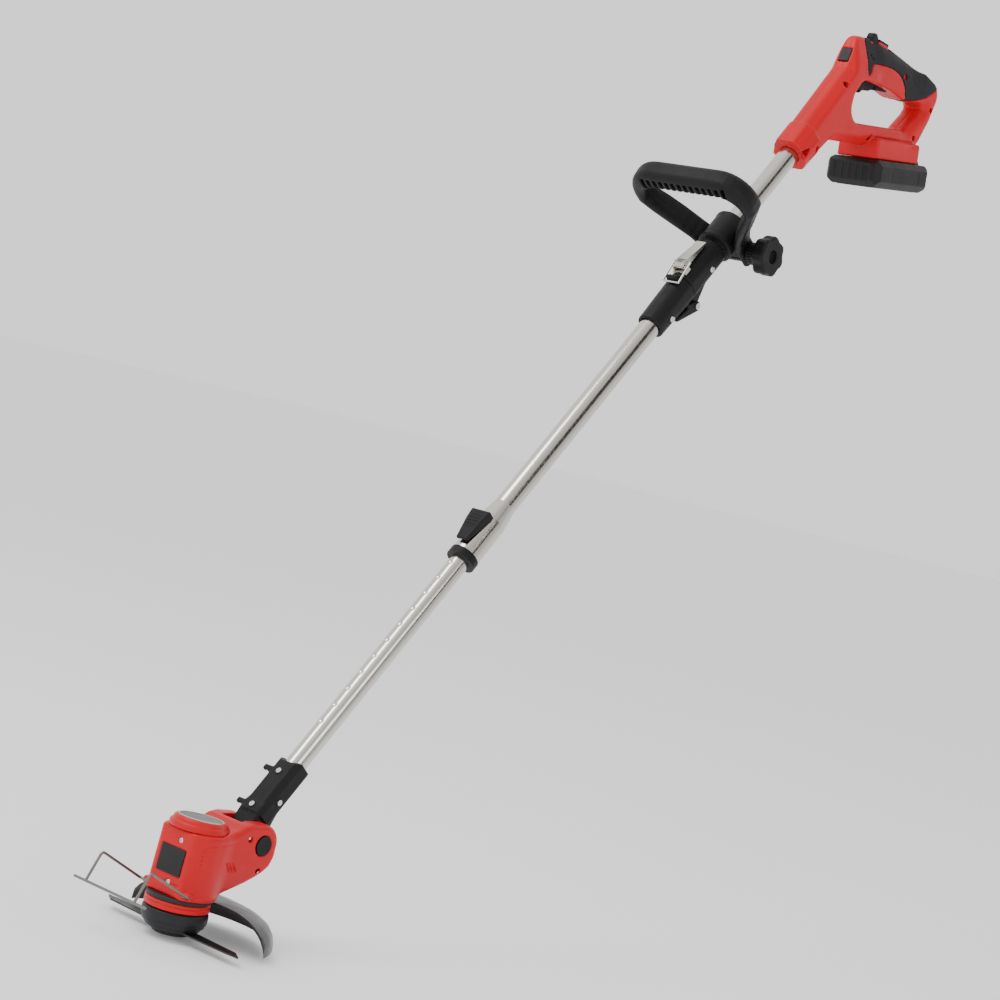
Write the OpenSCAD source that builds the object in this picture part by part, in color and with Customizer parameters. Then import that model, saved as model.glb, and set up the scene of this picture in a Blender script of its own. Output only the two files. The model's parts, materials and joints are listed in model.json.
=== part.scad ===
// Cordless lawn edger and trimmer: telescopic, folding pole with a tilting motor head.
// The origin is the centre of the rear grip, +X points forward, +Y to the user's left, +Z up.

/* [Pole] */
// Angle of the pole from vertical, in degrees
pole_tilt = 37.5; // [32:0.5:44]
// Outer diameter of the upper and middle tubes
tube_d = 25; // [24:0.5:26]
// Outer diameter of the sliding lower tube
slide_tube_d = 22; // [21.5:0.1:22]
// Wall of the lower tube
slide_wall = 1.5; // [1.2:0.1:1.8]
// Distance from the telescope mark to the head pivot
head_drop = 462; // [455:1:480]
// Distance from the telescope mark up to the rear housing's collar
collar_rise = 611; // [605:1:640]
// Travel of the telescope
slide_travel = 230; // [200:5:235]
// Number of height dimples
dimple_count = 11; // [5:1:11]

/* [Fold joint] */
// Height of the fold's parting face above the telescope mark
fold_at = 374; // [372:1:376]
// Outer radius of the fold sleeves
sleeve_r = 18; // [17.5:0.1:18]
// Depth of the fold pin below the pole's axis
fold_pin_drop = 25; // [25:0.5:26]

/* [Front handle] */
// Outer width of the front loop
loop_w = 157; // [150:1:160]
// Distance from the clamp bolt to the middle of the loop's grip bar
loop_h = 123; // [118:1:126]
// Width of the loop along the pole
loop_depth = 29; // [26:1:31]
// Largest radius of the clamp knob
knob_r = 24; // [22:0.5:27]

/* [Rear handle] */
// Nose-down tilt of the rear handle and battery, in degrees
handle_tilt = 9.5; // [8:0.5:11]
// Half width of the grip
grip_half_w = 17.5; // [16.5:0.1:18]
// Half width of the battery base
base_half_w = 29.5; // [28:0.5:31]

/* [Battery] */
// Width of the battery
battery_w = 80; // [76:1:82]
// Height of the battery under the handle
battery_h = 35.4; // [34:0.1:35.5]

/* [Head] */
// Radius of the motor housing's barrel
barrel_r = 34.5; // [34:0.1:35]
// Half length of the cutting blade
blade_reach = 100; // [90:1:102]
// Outer radius of the shield
shield_r = 101; // [100:1:106]
// Length of the wire guard's arms
guard_arm = 64; // [56:1:66]
// Angle of the wire guard's arms above level, in degrees
guard_lift = 24; // [10:1:26]

/* [Hidden] */
$fn = 64;
tube_r = tube_d / 2;
slide_r = slide_tube_d / 2;
fit = 0.05;
gap = 0.3;

// Rear handle frame: x forward, z up, origin under the battery's front edge
grip_centre = [-50, 143];
collar_x = 160;
collar_z = 22;

// A point turned about the Y axis
function turned(a, v) = [v.x * cos(a) + v.z * sin(a), v.y, -v.x * sin(a) + v.z * cos(a)];

handle_at = -turned(handle_tilt, [grip_centre.x, 0, grip_centre.y]);
collar_at = handle_at + turned(handle_tilt, [collar_x, 0, collar_z]);
up_pole = [-sin(pole_tilt), 0, cos(pole_tilt)];
pole_at = collar_at - collar_rise * up_pole;
pivot_x = -68.9;
pivot_z = 90.9;
pivot_drop = 6;
head_at = pole_at - head_drop * up_pole - pivot_drop * [cos(pole_tilt), 0, sin(pole_tilt)]
    - [pivot_x, 0, pivot_z];

// Upper pole
tube_end = 690;
cable_r = 3.5;
sleeve_top = 440;
sleeve_low = 305;
sleeve_low_r = 16.5;
sleeve_flat = 16.4;
lug_r = 6.4;
lug_half_w = 8;
fold_pin_r = 2.5;
fold_z = fold_at - 2;
rivet_r = 2.2;
rivet_x = -4;
upper_rivet_z = 414;
lower_rivet_z = 326.5;

// Draw latch
latch_z = 384;
latch_x = 22.6;
latch_half_w = 6.8;
bail_z = 390;
bail_x = 25.8;
bail_r = 1.2;
bail_half_w = 11.2;
bail_reach = 29.2;
bail_dip = 5.2;

// Telescope
flare_r = 16.5;
flare_low = -67;
flare_top = -18;
cone_top = 8;
ring_low = -76;
slide_top = 20;
dimple_first = -87;
dimple_step = 23.1;
dimple_ball = 6;
dimple_deep = 0.9;
button_travel = 2.5;

// Clamp, front handle and knob
clamp_low = 445;
clamp_high = 487;
clamp_r = 22;
bolt_x = -23;
bolt_z = 468;
bolt_r = 3;
arm_in = 22.4;
arm_out = 30;
arm_thick = 13;
bar_thick = 27;
loop_lean = 8.6;
far_arm_extra = 12;
knob_in = 46;
knob_out = 62;
knob_lobes = 7;

// Head
bracket_top = -370;
bracket_half_w = 15.5;
bracket_half_h = 13;
fork_half_w = 13.4;
eye_r = 15;
cheek_half_w = 31;
cheek_r = 21;
axle_r = 5;
guard_x = 21;
guard_z = 37.5;
guard_half_w = 35.5;
guard_leg = 31.8;
guard_foot = 52;
wire_r = 1.4;
spindle_r = 3;

red = "#d8141c";
black = "#202123";
steel = "#b9b4ab";

// ---------- placing and drawing helpers ----------

module in_handle() {
    translate(handle_at) rotate([0, handle_tilt, 0]) children();
}

module in_pole() {
    translate(pole_at) rotate([0, -pole_tilt, 0]) children();
}

module in_head() {
    translate(head_at) children();
}

// A flat outline in x and z, given thickness from y0 to y1
module slab(y0, y1) {
    translate([0, y1, 0]) rotate([90, 0, 0]) linear_extrude(y1 - y0) children();
}

// A cylinder along y through the point x, z
module cross_pin(x, z, r, y0, y1) {
    translate([x, y1, z]) rotate([90, 0, 0]) cylinder(r = r, h = y1 - y0);
}

// A cylinder along z from z0 to z1
module post(r, z0, z1) {
    translate([0, 0, z0]) cylinder(r = r, h = z1 - z0);
}

// A box between two corners
module block(low, high) {
    translate(low) cube(high - low);
}

function arc(x, z, r, a0, a1, n) =
    [for (i = [0:n]) [x + r * cos(a0 + (a1 - a0) * i / n), z + r * sin(a0 + (a1 - a0) * i / n)]];

// A round wire that follows straight runs between points
module wire(points, r) {
    for (i = [0:len(points) - 2]) {
        run = points[i + 1] - points[i];
        translate(points[i]) rotate([0, acos(run.z / norm(run)), atan2(run.y, run.x)])
            cylinder(r = r, h = norm(run), $fn = 24);
    }
    for (p = points) translate(p) sphere(r = r, $fn = 24);
}

// A helical spring along z, swept as one closed surface
spring_sides = 6;
spring_rings = 12;
module spring(r, wire, turns, h) {
    count = turns * spring_rings;
    points = [for (i = [0:count], k = [0:spring_sides - 1])
        let (a = 360 * i / spring_rings, b = 360 * k / spring_sides)
        [(r + wire * cos(b)) * cos(a), (r + wire * cos(b)) * sin(a), h * i / count + wire * sin(b)]];
    walls = [for (i = [0:count - 1], k = [0:spring_sides - 1])
        let (a = i * spring_sides + k, b = i * spring_sides + (k + 1) % spring_sides)
        [a, b, b + spring_sides, a + spring_sides]];
    first = [for (k = [spring_sides - 1:-1:0]) k];
    last = [for (k = [0:spring_sides - 1]) count * spring_sides + k];
    polyhedron(points, concat([first], walls, [last]), convexity = 10);
}

// ---------- rear handle ----------

// Side outline of the housing above the battery base
housing_outline = concat(
    [[146, 7], [89, 51], [0, 51], [-93, 51]],
    [[-107, 66], [-124, 92]], arc(-117, 123, 19, 205, 115, 7),
    [[-74, 160], [-30, 172], [5, 179]], arc(48, 169, 12, 100, 20, 4),
    [[73, 141], [174, 37]]);
// The same outline where the flanks are at their full width
flank_outline = concat(
    [[146, 7], [89, 51], [0, 51], [-93, 51]],
    [[-105, 66], [-121, 92]], arc(-115, 121, 16, 205, 115, 7),
    [[-72, 154], [-30, 166], [5, 172], [42, 168], [55, 160], [58, 141], [158, 30]]);
ridge_half_w = 9.5;
// Side outline of the hand opening
hand_outline = concat(
    arc(42, 96, 20, 0, -90, 5), arc(-66, 88, 12, -90, -150, 3), [[-104, 104], [-98, 110]],
    [[-82, 114], [-45, 122], [0, 122], [40, 118]], arc(50, 106, 10, 60, 10, 3));
// Side outline of the rubber on the grip
rubber_outline = [[20, 150], [26, 172], [-2, 170], [-30, 174], [-74, 162], [-116, 148], [-134, 128],
    [-120, 112], [-92, 104], [-76, 112], [-70, 132], [-30, 146], [8, 150], [16, 130]];
// Hollow inside the grip, the switch bay and the path of the cable
hollow_outline = [[40, 160], [30, 168], [-10, 167], [-66, 150], [-100, 138], [-108, 124], [-88, 118],
    [-50, 126], [40, 126], [66, 112], [76, 96], [92, 92], [60, 130]];
// Each screw's place and how deep it reaches: the one beside the tube is short
screw_places = [[80, 119, -8], [11, 61, -8], [126, 38, 7.5], [-122, 106, -8], [-90, 68, -8],
    [26, 158, -8], [-53, 142, -8]];
shell_half_w = 20;
screw_seat = 12;
trigger_half_w = 7;
rail_half_w = 20;
rail_neck = 16;
rail_low = 39;
rail_top = 44;
base_low = 35.7;
base_rear = -93;
base_front = 6.5;

module housing_half() {
    difference() {
        union() {
            slab(0, ridge_half_w) difference() {
                polygon(housing_outline);
                polygon(hand_outline);
            }
            slab(0, shell_half_w) difference() {
                polygon(flank_outline);
                polygon(hand_outline);
            }
            block([base_rear, 0, base_low], [base_front, base_half_w, 62.5]);
            translate([collar_x, 0, collar_z]) rotate([0, -pole_tilt - handle_tilt, 0]) intersection() {
                post(21, 0, 95);
                block([-30, 0, -1], [30, 30, 96]);
            }
        }
        // Seat of the upper tube
        translate([collar_x, 0, collar_z]) rotate([0, -pole_tilt - handle_tilt, 0])
            post(tube_r + fit, -30, tube_end - collar_rise + fit);
        difference() {
            slab(-1, grip_half_w - 4) polygon(hollow_outline);
            for (p = screw_places) cross_pin(p.x, p.y, 4.5, -2, grip_half_w);
        }
        for (p = screw_places) {
            cross_pin(p.x, p.y, 1.6 + fit, p.z - 1, screw_seat);
        }
        // Mouth of the trigger, mouth of the lock-off button, their springs' room
        block([-3, -1, 112], [39, trigger_half_w + gap, 150]);
        block([3, -1, 160], [19, 5 + gap, 200]);
        // Channel that the battery's rail slides in
        block([base_rear - 1, -1, base_low - 1], [-8, rail_neck + gap, rail_low]);
        block([base_rear - 1, -1, rail_low - gap], [-8, rail_half_w + gap, rail_top + gap]);
        // Bay of the terminal block
        block([-70, -1, rail_top], [-20, 14, 60]);
        // Cable outlet from the tube's end
        block([40, -1, 95], [92, cable_r + 1, 112]);
        // Bed of the grip rubber
        grip_rubber_solid();
    }
}

module grip_rubber_solid() {
    difference() {
        intersection() {
            slab(0, grip_half_w + 4) polygon(rubber_outline);
            union() {
                slab(0, ridge_half_w) polygon(housing_outline);
                slab(0, shell_half_w) polygon(flank_outline);
            }
        }
        slab(-1, grip_half_w - 2) translate([0, -2]) polygon(housing_outline);
        block([3, -1, 150], [19, 5 + gap, 200]);
    }
}

module handle_shell_left() {
    color(red) in_handle() difference() {
        housing_half();
        for (p = screw_places) cross_pin(p.x, p.y, 3.4, screw_seat, 40);
        window_solid();
    }
}

module handle_shell_right() {
    color(red) in_handle() mirror([0, 1, 0]) difference() {
        housing_half();
        window_solid();
    }
}

module grip_rubber_left() {
    color("#3c3c3e") in_handle() difference() {
        grip_rubber_solid();
        for (p = screw_places) cross_pin(p.x, p.y, 3.4, -1, 40);
    }
}

module grip_rubber_right() {
    color("#3c3c3e") in_handle() mirror([0, 1, 0]) grip_rubber_solid();
}

// Dark window in the front face of the hump
module window_solid() {
    slab(-7, 7) polygon([[69.9, 149], [67.6, 148.2], [61.4, 162.8], [63.7, 163.8]]);
}

module handle_window() {
    color("#2c2c2c") in_handle() window_solid();
}

module handle_screws() {
    color(steel) in_handle() for (p = screw_places) {
        cross_pin(p.x, p.y, 1.6, p.z, screw_seat);
        difference() {
            cross_pin(p.x, p.y, 3, screw_seat, screw_seat + 2.2);
            block([p.x - 2, screw_seat + 1.4, p.y - 0.4], [p.x + 2, screw_seat + 3, p.y + 0.4]);
            block([p.x - 0.4, screw_seat + 1.4, p.y - 2], [p.x + 0.4, screw_seat + 3, p.y + 2]);
        }
    }
}

module switch_block() {
    color("#404a50") in_handle() difference() {
        union() {
            block([-2.6, -6.6, 150.4], [20, 6.6, 163]);
            cross_pin(8, 152, 1.4, -6.6, -5);
        }
        block([6, -2.6, 149], [16, 2.6, 154]);
    }
}

module trigger_spring() {
    color(steel) in_handle() translate([11, 0, 140]) spring(2.2, 0.4, 6, 12.5);
}

module lock_off_spring() {
    color(steel) in_handle() translate([11, 0, 163.8]) spring(2.6, 0.4, 4, 5.4);
}

module trigger() {
    color(black) in_handle() difference() {
        slab(-trigger_half_w, trigger_half_w) polygon(concat(
            [[-2.4, 139], [-2.4, 124]], arc(14, 134, 17, -140, -60, 6), arc(32, 116, 3, -110, 10, 4),
            [[38.4, 128], [38.4, 139]]));
        translate([11, 0, 0]) post(3, 138, 141);
    }
}

module lock_off_button() {
    color(black) in_handle() union() {
        slab(-5, 5) polygon([[3.6, 170], [18.4, 170], [18.4, 182], [16, 186.5], [9, 187], [3.6, 181]]);
    }
}

module terminal_block() {
    color("#303236") in_handle() union() {
        block([-69, -13.5, rail_top + gap], [-21, 13.5, 58]);
        for (y = [-9, -3, 3, 9]) block([-60, y - 0.4, rail_top - 5], [-36, y + 0.4, rail_top + gap]);
    }
}

// ---------- battery ----------

battery_front = 13.5;
battery_rear = -110;
battery_seam = 20;
cell_r = 9.2;

module battery_plan(grow) {
    half = battery_w / 2 + grow;
    cut = 7;
    polygon([
        [battery_front + grow, half - cut], [battery_front + grow - cut, half],
        [battery_rear - grow + cut, half], [battery_rear - grow, half - cut],
        [battery_rear - grow, cut - half], [battery_rear - grow + cut, -half],
        [battery_front + grow - cut, -half], [battery_front + grow, cut - half]]);
}

module battery_case() {
    color(black) in_handle() difference() {
        union() {
            linear_extrude(3) battery_plan(-3);
            translate([0, 0, 3]) linear_extrude(battery_seam - 3) battery_plan(0);
        }
        translate([0, 0, 2.4]) linear_extrude(battery_seam) battery_plan(-4);
    }
}

module battery_cover() {
    color(black) in_handle() difference() {
        union() {
            translate([0, 0, battery_seam]) linear_extrude(battery_h - battery_seam - 2.4) battery_plan(0);
            translate([0, 0, battery_h - 2.4]) linear_extrude(2.4) battery_plan(-2);
            block([base_rear + 4, -rail_neck, battery_h - 1], [-9, rail_neck, rail_top]);
            block([base_rear + 4, -rail_half_w, rail_low], [-9, rail_half_w, rail_top]);
            slab(-24, 24) polygon([[base_rear - 1.4, battery_h - 2], [base_rear - 1.4, 45], [base_rear - 5, 48],
                [battery_rear + 3, 44], [battery_rear + 1, battery_h - 2]]);
        }
        translate([0, 0, battery_seam - 1]) linear_extrude(battery_h - battery_seam - 1.4) battery_plan(-4);
        for (y = [-9, -3, 3, 9]) block([-64, y - 0.9, rail_top - 6], [0, y + 0.9, rail_top + 1]);
        latch_well();
    }
}

module latch_well() {
    block([base_rear - 12.4, -9 - gap, battery_h], [base_rear - 4, 9 + gap, 60]);
}

module battery_cells() {
    color("#2f6f9f") in_handle() for (i = [0:4]) cross_pin(-12 - 19.4 * i, 12, cell_r, -32.5, 32.5);
}

module battery_latch() {
    color("#2a2b2d") in_handle() union() {
        slab(-9, 9) polygon([[base_rear - 4.4, 40.5], [base_rear - 4.4, 50], [base_rear - 7, 51.5],
            [base_rear - 12, 49.5], [base_rear - 12, 40.5]]);
    }
}

module battery_latch_spring() {
    color(steel) in_handle() translate([base_rear - 8.2, 0, 36.2]) spring(2.4, 0.4, 4, 3.8);
}

// ---------- upper pole ----------

module upper_tube() {
    color(steel) in_pole() difference() {
        post(tube_r, fold_at + 16, tube_end);
        post(tube_r - 1.2, fold_at + 10, tube_end + 5);
        cross_pin(rivet_x, upper_rivet_z, rivet_r + fit, -30, 30);
    }
}

module upper_cable() {
    color("#1a1a1a") in_pole() post(cable_r, fold_at + gap, tube_end - 2);
}

// Triangular ear from the sleeve down to the fold pin, on the side that up says
module fold_ear(y0, y1, up) {
    slab(y0, y1) hull() {
        translate([-fold_pin_drop, fold_z]) circle(r = lug_r, $fn = 32);
        translate([-15, fold_z + up * 36]) circle(r = 2, $fn = 32);
        translate([-15, fold_z + up * 12]) circle(r = 2, $fn = 32);
    }
}

// What is left of a sleeve between the flats on its sides
module flattened() {
    intersection() {
        union() children();
        block([-sleeve_r, -sleeve_flat, sleeve_low], [sleeve_r, sleeve_flat, sleeve_top]);
    }
}

module upper_sleeve() {
    color(black) in_pole() difference() {
        union() {
            flattened() post(sleeve_r, fold_at + 0.2, sleeve_top);
            fold_ear(-lug_half_w, lug_half_w, 1);
        }
        post(tube_r + fit, fold_at + 16, sleeve_top + 1);
        post(tube_r - 2, fold_at - 30, sleeve_top);
        cross_pin(-fold_pin_drop, fold_z, fold_pin_r + fit, -30, 30);
        cross_pin(rivet_x, upper_rivet_z, rivet_r + fit, -30, 30);
        // Room for the ears of the lower sleeve
        for (side = [-1, 1]) block([-40, side * 14.5 - 6.3, fold_z - 12], [-16, side * 14.5 + 6.3, fold_z + 9]);
    }
}

// A blind rivet on each side, through the sleeve and the tube's wall
module rivet_pair(z) {
    for (side = [0, 1]) mirror([0, side, 0]) union() {
        cross_pin(rivet_x, z, rivet_r, 9, sleeve_flat + fit);
        translate([rivet_x, sleeve_flat + 1.5, z]) rotate([90, 0, 0]) cylinder(r1 = 2.8, r2 = 3.6, h = 1.5 - fit);
    }
}

module upper_rivet() {
    color(steel) in_pole() rivet_pair(upper_rivet_z);
}

module latch_base() {
    color(steel) in_pole() difference() {
        union() {
            block([sleeve_r - 1.6, -9.2, latch_z - 6], [19.4, 9.2, latch_z + 4.5]);
            for (side = [-1, 1]) slab(side * 8.2 - 1, side * 8.2 + 1) hull() {
                translate([latch_x, latch_z]) circle(r = 3.4, $fn = 32);
                translate([18.6, latch_z - 5]) square([0.5, 9]);
            }
            cross_pin(latch_x, latch_z, 1.5, -10, 10);
        }
        post(sleeve_r + fit, latch_z - 20, latch_z + 20);
    }
}

module latch_lever() {
    color(steel) in_pole() difference() {
        slab(-latch_half_w, latch_half_w) polygon([[20.4, 381.8], [26, 381.6], [29, 385], [29.4, 391], [24.6, 416],
            [22.4, 430], [20.9, 430.6], [20.4, 417], [21, 394]]);
        slab(1.6 - latch_half_w, latch_half_w - 1.6) polygon([[18, 380], [24.8, 380], [27.4, 386],
            [27.6, 391], [23.4, 414], [18, 414]]);
        cross_pin(latch_x, latch_z, 1.5 + fit, -10, 10);
        cross_pin(bail_x, bail_z, bail_r + fit, -10, 10);
    }
}

module latch_bail() {
    color(steel) in_pole() union() {
        for (side = [-1, 1]) wire([[bail_x, side * (latch_half_w - 1), bail_z], [bail_x, side * bail_half_w, bail_z]], bail_r);
        wire([[bail_x, -bail_half_w, bail_z], [bail_x - bail_dip, -bail_half_w, bail_z - bail_reach],
            [bail_x - bail_dip, bail_half_w, bail_z - bail_reach], [bail_x, bail_half_w, bail_z]], bail_r);
    }
}

// ---------- fold joint, middle tube and telescope ----------

module lower_sleeve() {
    color(black) in_pole() difference() {
        union() {
            flattened() {
                translate([0, 0, sleeve_low]) cylinder(r1 = sleeve_low_r, r2 = sleeve_r, h = 55);
                post(sleeve_r, sleeve_low + 55, fold_at - 0.1);
            }
            for (side = [-1, 1]) fold_ear(side * 11.2 - 2.8, side * 11.2 + 2.8, -1);
        }
        post(tube_r + fit, sleeve_low - 1, fold_at - 22);
        post(tube_r - 2, sleeve_low, fold_at + 30);
        cross_pin(-fold_pin_drop, fold_z, fold_pin_r + fit, -30, 30);
        cross_pin(rivet_x, lower_rivet_z, rivet_r + fit, -30, 30);
        // Room for the lug of the upper sleeve
        block([-40, -lug_half_w - gap, fold_z - 8], [-sleeve_r + 1.2, lug_half_w + gap, fold_z + 9]);
    }
}

module lower_rivet() {
    color(steel) in_pole() rivet_pair(lower_rivet_z);
}

module fold_pin() {
    color(steel) in_pole() union() {
        cross_pin(-fold_pin_drop, fold_z, fold_pin_r, -14.4, 14.4);
        cross_pin(-fold_pin_drop, fold_z, 4, 14, 15.6);
        cross_pin(-fold_pin_drop, fold_z, 4, -15.6, -14);
    }
}

module latch_catch() {
    color(black) in_pole() difference() {
        slab(-6.5, 6.5) polygon([[sleeve_r - 2, 362.8], [23.5, 362.8], [26, 364], [26, 366], [22, 371],
            [sleeve_r - 2, 371]]);
        post(sleeve_r + fit, 350, 380);
    }
}

module middle_tube() {
    bore = slide_r + 0.2;
    color(steel) in_pole() difference() {
        rotate_extrude() polygon([
            [flare_r - 1.3, flare_low], [flare_r, flare_low], [flare_r, flare_top], [tube_r, cone_top],
            [tube_r, fold_at - 22.4], [bore, fold_at - 22.4], [bore, cone_top], [flare_r - 1.3, flare_top]]);
        block([10, -5.5, -53], [20, 5.5, -28]);
        cross_pin(rivet_x, lower_rivet_z, rivet_r + fit, -30, 30);
    }
}

module tube_ring() {
    color(black) in_pole() difference() {
        union() {
            post(17.2, ring_low, flare_low);
            post(flare_r - 1.3 - fit, flare_low - 1, flare_low + 8);
        }
        post(slide_r + 0.1, ring_low - 1, flare_low + 20);
    }
}

module middle_cable() {
    color("#1a1a1a") in_pole() post(cable_r, -20, fold_at - 0.2);
}

module height_button() {
    color(black) in_pole() difference() {
        union() {
            intersection() {
                slab(-15, 15) polygon([[8, -61], [23, -61], [25.5, -30], [24.5, -20], [8, -20]]);
                rotate([0, 90, 0]) linear_extrude(40)
                    polygon([[61, 7.5], [61, -7.5], [20, -13.5], [20, 13.5]]);
            }
            block([slide_r + button_travel + 0.4, -5, -52], [22, 5, -29]);
        }
        difference() {
            post(flare_r + button_travel + gap, -70, -10);
            block([slide_r + button_travel + 0.4, -5, -52], [22, 5, -29]);
        }
    }
}

// ---------- lower tube and pivot bracket ----------

module lower_tube() {
    color(steel) in_pole() difference() {
        post(slide_r, -434, slide_top);
        post(slide_r - slide_wall, -440, slide_top + 1);
        for (i = [0:dimple_count - 1])
            translate([slide_r + dimple_ball - dimple_deep, 0, dimple_first - dimple_step * i]) sphere(r = dimple_ball);
    }
}

module lower_cable() {
    color("#1a1a1a") in_pole() post(cable_r, -446, -255);
}

bracket_screw_places = [[bracket_half_h, -388.5], [bracket_half_h, -433]];
side_screw_z = -415;

module bracket_half() {
    difference() {
        union() {
            slab(0, bracket_half_w) polygon([[-bracket_half_h, bracket_top], [bracket_half_h - 4, bracket_top],
                [bracket_half_h, bracket_top - 4], [bracket_half_h, -head_drop + 25], [-bracket_half_h, -head_drop + 25]]);
            slab(0, fork_half_w) hull() {
                translate([-pivot_drop, -head_drop]) circle(r = eye_r, $fn = 32);
                translate([-bracket_half_h, -head_drop + 25]) square([2 * bracket_half_h, 3]);
            }
        }
        post(slide_r + fit, -434 - fit, bracket_top + 5);
        post(cable_r + 1, -450, -430);
        cross_pin(-pivot_drop, -head_drop, axle_r + fit, -20, 20);
        for (p = bracket_screw_places)
            translate([slide_r, 0, p.y]) rotate([0, 90, 0]) cylinder(r = 1.5 + fit, h = 20);
        cross_pin(0, side_screw_z, 1.5 + fit, slide_r - 4, 40);
    }
}

module bracket_left() {
    color(black) in_pole() bracket_half();
}

module bracket_right() {
    color(black) in_pole() union() {
        mirror([0, 1, 0]) bracket_half();
        // Clips for the cable on the far side
        for (z = [-388, -433]) difference() {
            block([6, -bracket_half_w - 7, z - 3], [bracket_half_h, -bracket_half_w + 0.5, z + 3]);
            block([8, -bracket_half_w - 4.6, z - 4], [11, -bracket_half_w, z + 4]);
        }
    }
}

module bracket_screws() {
    color(steel) in_pole() union() {
        for (p = bracket_screw_places) translate([0, 0, p.y]) rotate([0, 90, 0]) {
            post(1.5, slide_r + gap, bracket_half_h);
            post(3, bracket_half_h, bracket_half_h + 1.4);
        }
        cross_pin(0, side_screw_z, 1.5, slide_r + gap, bracket_half_w);
        cross_pin(0, side_screw_z, 3, bracket_half_w, bracket_half_w + 1.4);
    }
}

// ---------- motor head ----------

housing_low = 33;
barrel_top = 98.5;
barrel_x = -4;
rim_r = 35;
cap_x = -10;
cap_r = 30;
flat_x = 22;
head_screw_places = [[-49, 98], [-72, 63]];

module head_half() {
    difference() {
        union() {
            intersection() {
                union() {
                    translate([barrel_x, 0, 0]) post(rim_r, housing_low, 39);
                    translate([barrel_x, 0, 0]) post(barrel_r, housing_low, barrel_top);
                }
                block([-40, 0, 0], [flat_x, 40, 200]);
            }
            slab(0, cheek_half_w) polygon(concat(
                [[-8, 98], [-31, 103], [-46, 111.5]], arc(pivot_x, pivot_z, cheek_r, 95, 190, 9),
                [[-90, 80], [-84, 66], [-66, 54], [-46, 45], [-22, 36], [-8, 36]]));
            // Boss of the wire guard's pivot
            cross_pin(guard_x - 4, guard_z, 4.3, 10, guard_half_w - 2.2);
        }
        // Motor bay
        intersection() {
            post(27.3, housing_low + 4, barrel_top - 2);
            block([-40, -40, 0], [flat_x - 2.5, 40, 200]);
        }
        post(10, 0, 60);
        translate([cap_x, 0, 0]) post(17, 80, barrel_top + 1);
        // Slot that the bracket swings in
        slab(-1, fork_half_w + gap) polygon(concat([[-47.5, 120], [-47.5, 80]],
            arc(pivot_x, pivot_z, eye_r + 1.5, -40, -112, 6), [[-112, 88], [-112, 130]]));
        // Seat of the cap
        translate([cap_x, 0, 0]) post(cap_r + fit, barrel_top, barrel_top + 30);
        cross_pin(pivot_x, pivot_z, axle_r + fit, -1, cheek_half_w);
        cross_pin(pivot_x, pivot_z, 10 + gap, cheek_half_w - 7.6, 60);
        cross_pin(guard_x, guard_z, wire_r + 0.1, 24, 60);
        for (p = head_screw_places) cross_pin(p.x, p.y, 1.5 + fit, fork_half_w + 2, cheek_half_w + 2);
    }
}

module motor_housing_left() {
    color(red) in_head() head_half();
}

module motor_housing_right() {
    color(red) in_head() mirror([0, 1, 0]) head_half();
}

module motor_cap() {
    color(red) in_head() difference() {
        translate([cap_x, 0, 0]) union() {
            post(cap_r, barrel_top, 105);
            post(cap_r - 3, 105, 109.5);
        }
        translate([cap_x, 0, 0]) post(24, barrel_top - 1, 106);
    }
}

module head_plates() {
    color("#8d8d8d") in_head() union() {
        translate([cap_x, 0, 0]) post(23, 109.5, 110.5);
        block([flat_x, -17, 53.5], [flat_x + 0.8, 17, 80.5]);
    }
}

module housing_screws() {
    color(steel) in_head() for (side = [-1, 1], p = head_screw_places)
        cross_pin(p.x, p.y, 1.5, min(side * (fork_half_w + 2.2), side * (cheek_half_w - 2)),
            max(side * (fork_half_w + 2.2), side * (cheek_half_w - 2)));
}

module motor_can() {
    color("#9a9a98") in_head() difference() {
        intersection() {
            post(27, 40, 92);
            block([-40, -40, 0], [flat_x - 3, 40, 200]);
        }
        post(18, 42, 90);
        post(8, 30, 100);
    }
}

module motor_bearings() {
    color("silver") in_head() for (z = [40, 85]) difference() {
        post(8 - fit, z, z + 7);
        post(spindle_r + 0.08, z - 1, z + 8);
    }
}

module rotor() {
    color("#b87333") in_head() union() {
        post(spindle_r, -8, 93);
        post(17, 50, 82);
    }
}

module skirt_ring() {
    color(red) in_head() difference() {
        post(33, 20, 28.5);
        post(10, 10, 40);
    }
}

module shield() {
    wall = 2.5;
    color("#6e6e70") in_head() difference() {
        union() {
            post(31.5, 28.5, housing_low);
            rotate([0, 0, 109]) rotate_extrude(angle = 142, $fn = 120) polygon([
                [28, 28.8], [34, 28.8], [60, 27], [84, 20.5], [shield_r - 6, 11], [shield_r - 2, 3], [shield_r, 3],
                [shield_r - 2.5, 12.4], [86, 22.8], [61, 29.5], [28, 28.8 + wall]]);
        }
        post(10, 20, 40);
    }
}

module pivot_axle() {
    color(black) in_head() union() {
        cross_pin(pivot_x, pivot_z, axle_r, -cheek_half_w, cheek_half_w - 8);
        cross_pin(pivot_x, pivot_z, 10, -cheek_half_w - 0.8, 7.6 - cheek_half_w);
    }
}

module pivot_button() {
    color(black) in_head() cross_pin(pivot_x, pivot_z, 10, cheek_half_w - 5, cheek_half_w + 0.8);
}

module guard_wire() {
    color(steel) in_head() translate([guard_x, 0, guard_z]) rotate([0, -guard_lift, 0]) union() {
        for (side = [-1, 1]) wire([[0, side * 26, 0], [0, side * guard_half_w, 0],
            [guard_arm, side * guard_half_w, 0], [guard_arm, side * guard_half_w, -guard_leg]], wire_r);
        wire([[guard_arm, -guard_foot, -guard_leg], [guard_arm, guard_foot, -guard_leg]], wire_r);
    }
}

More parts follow.
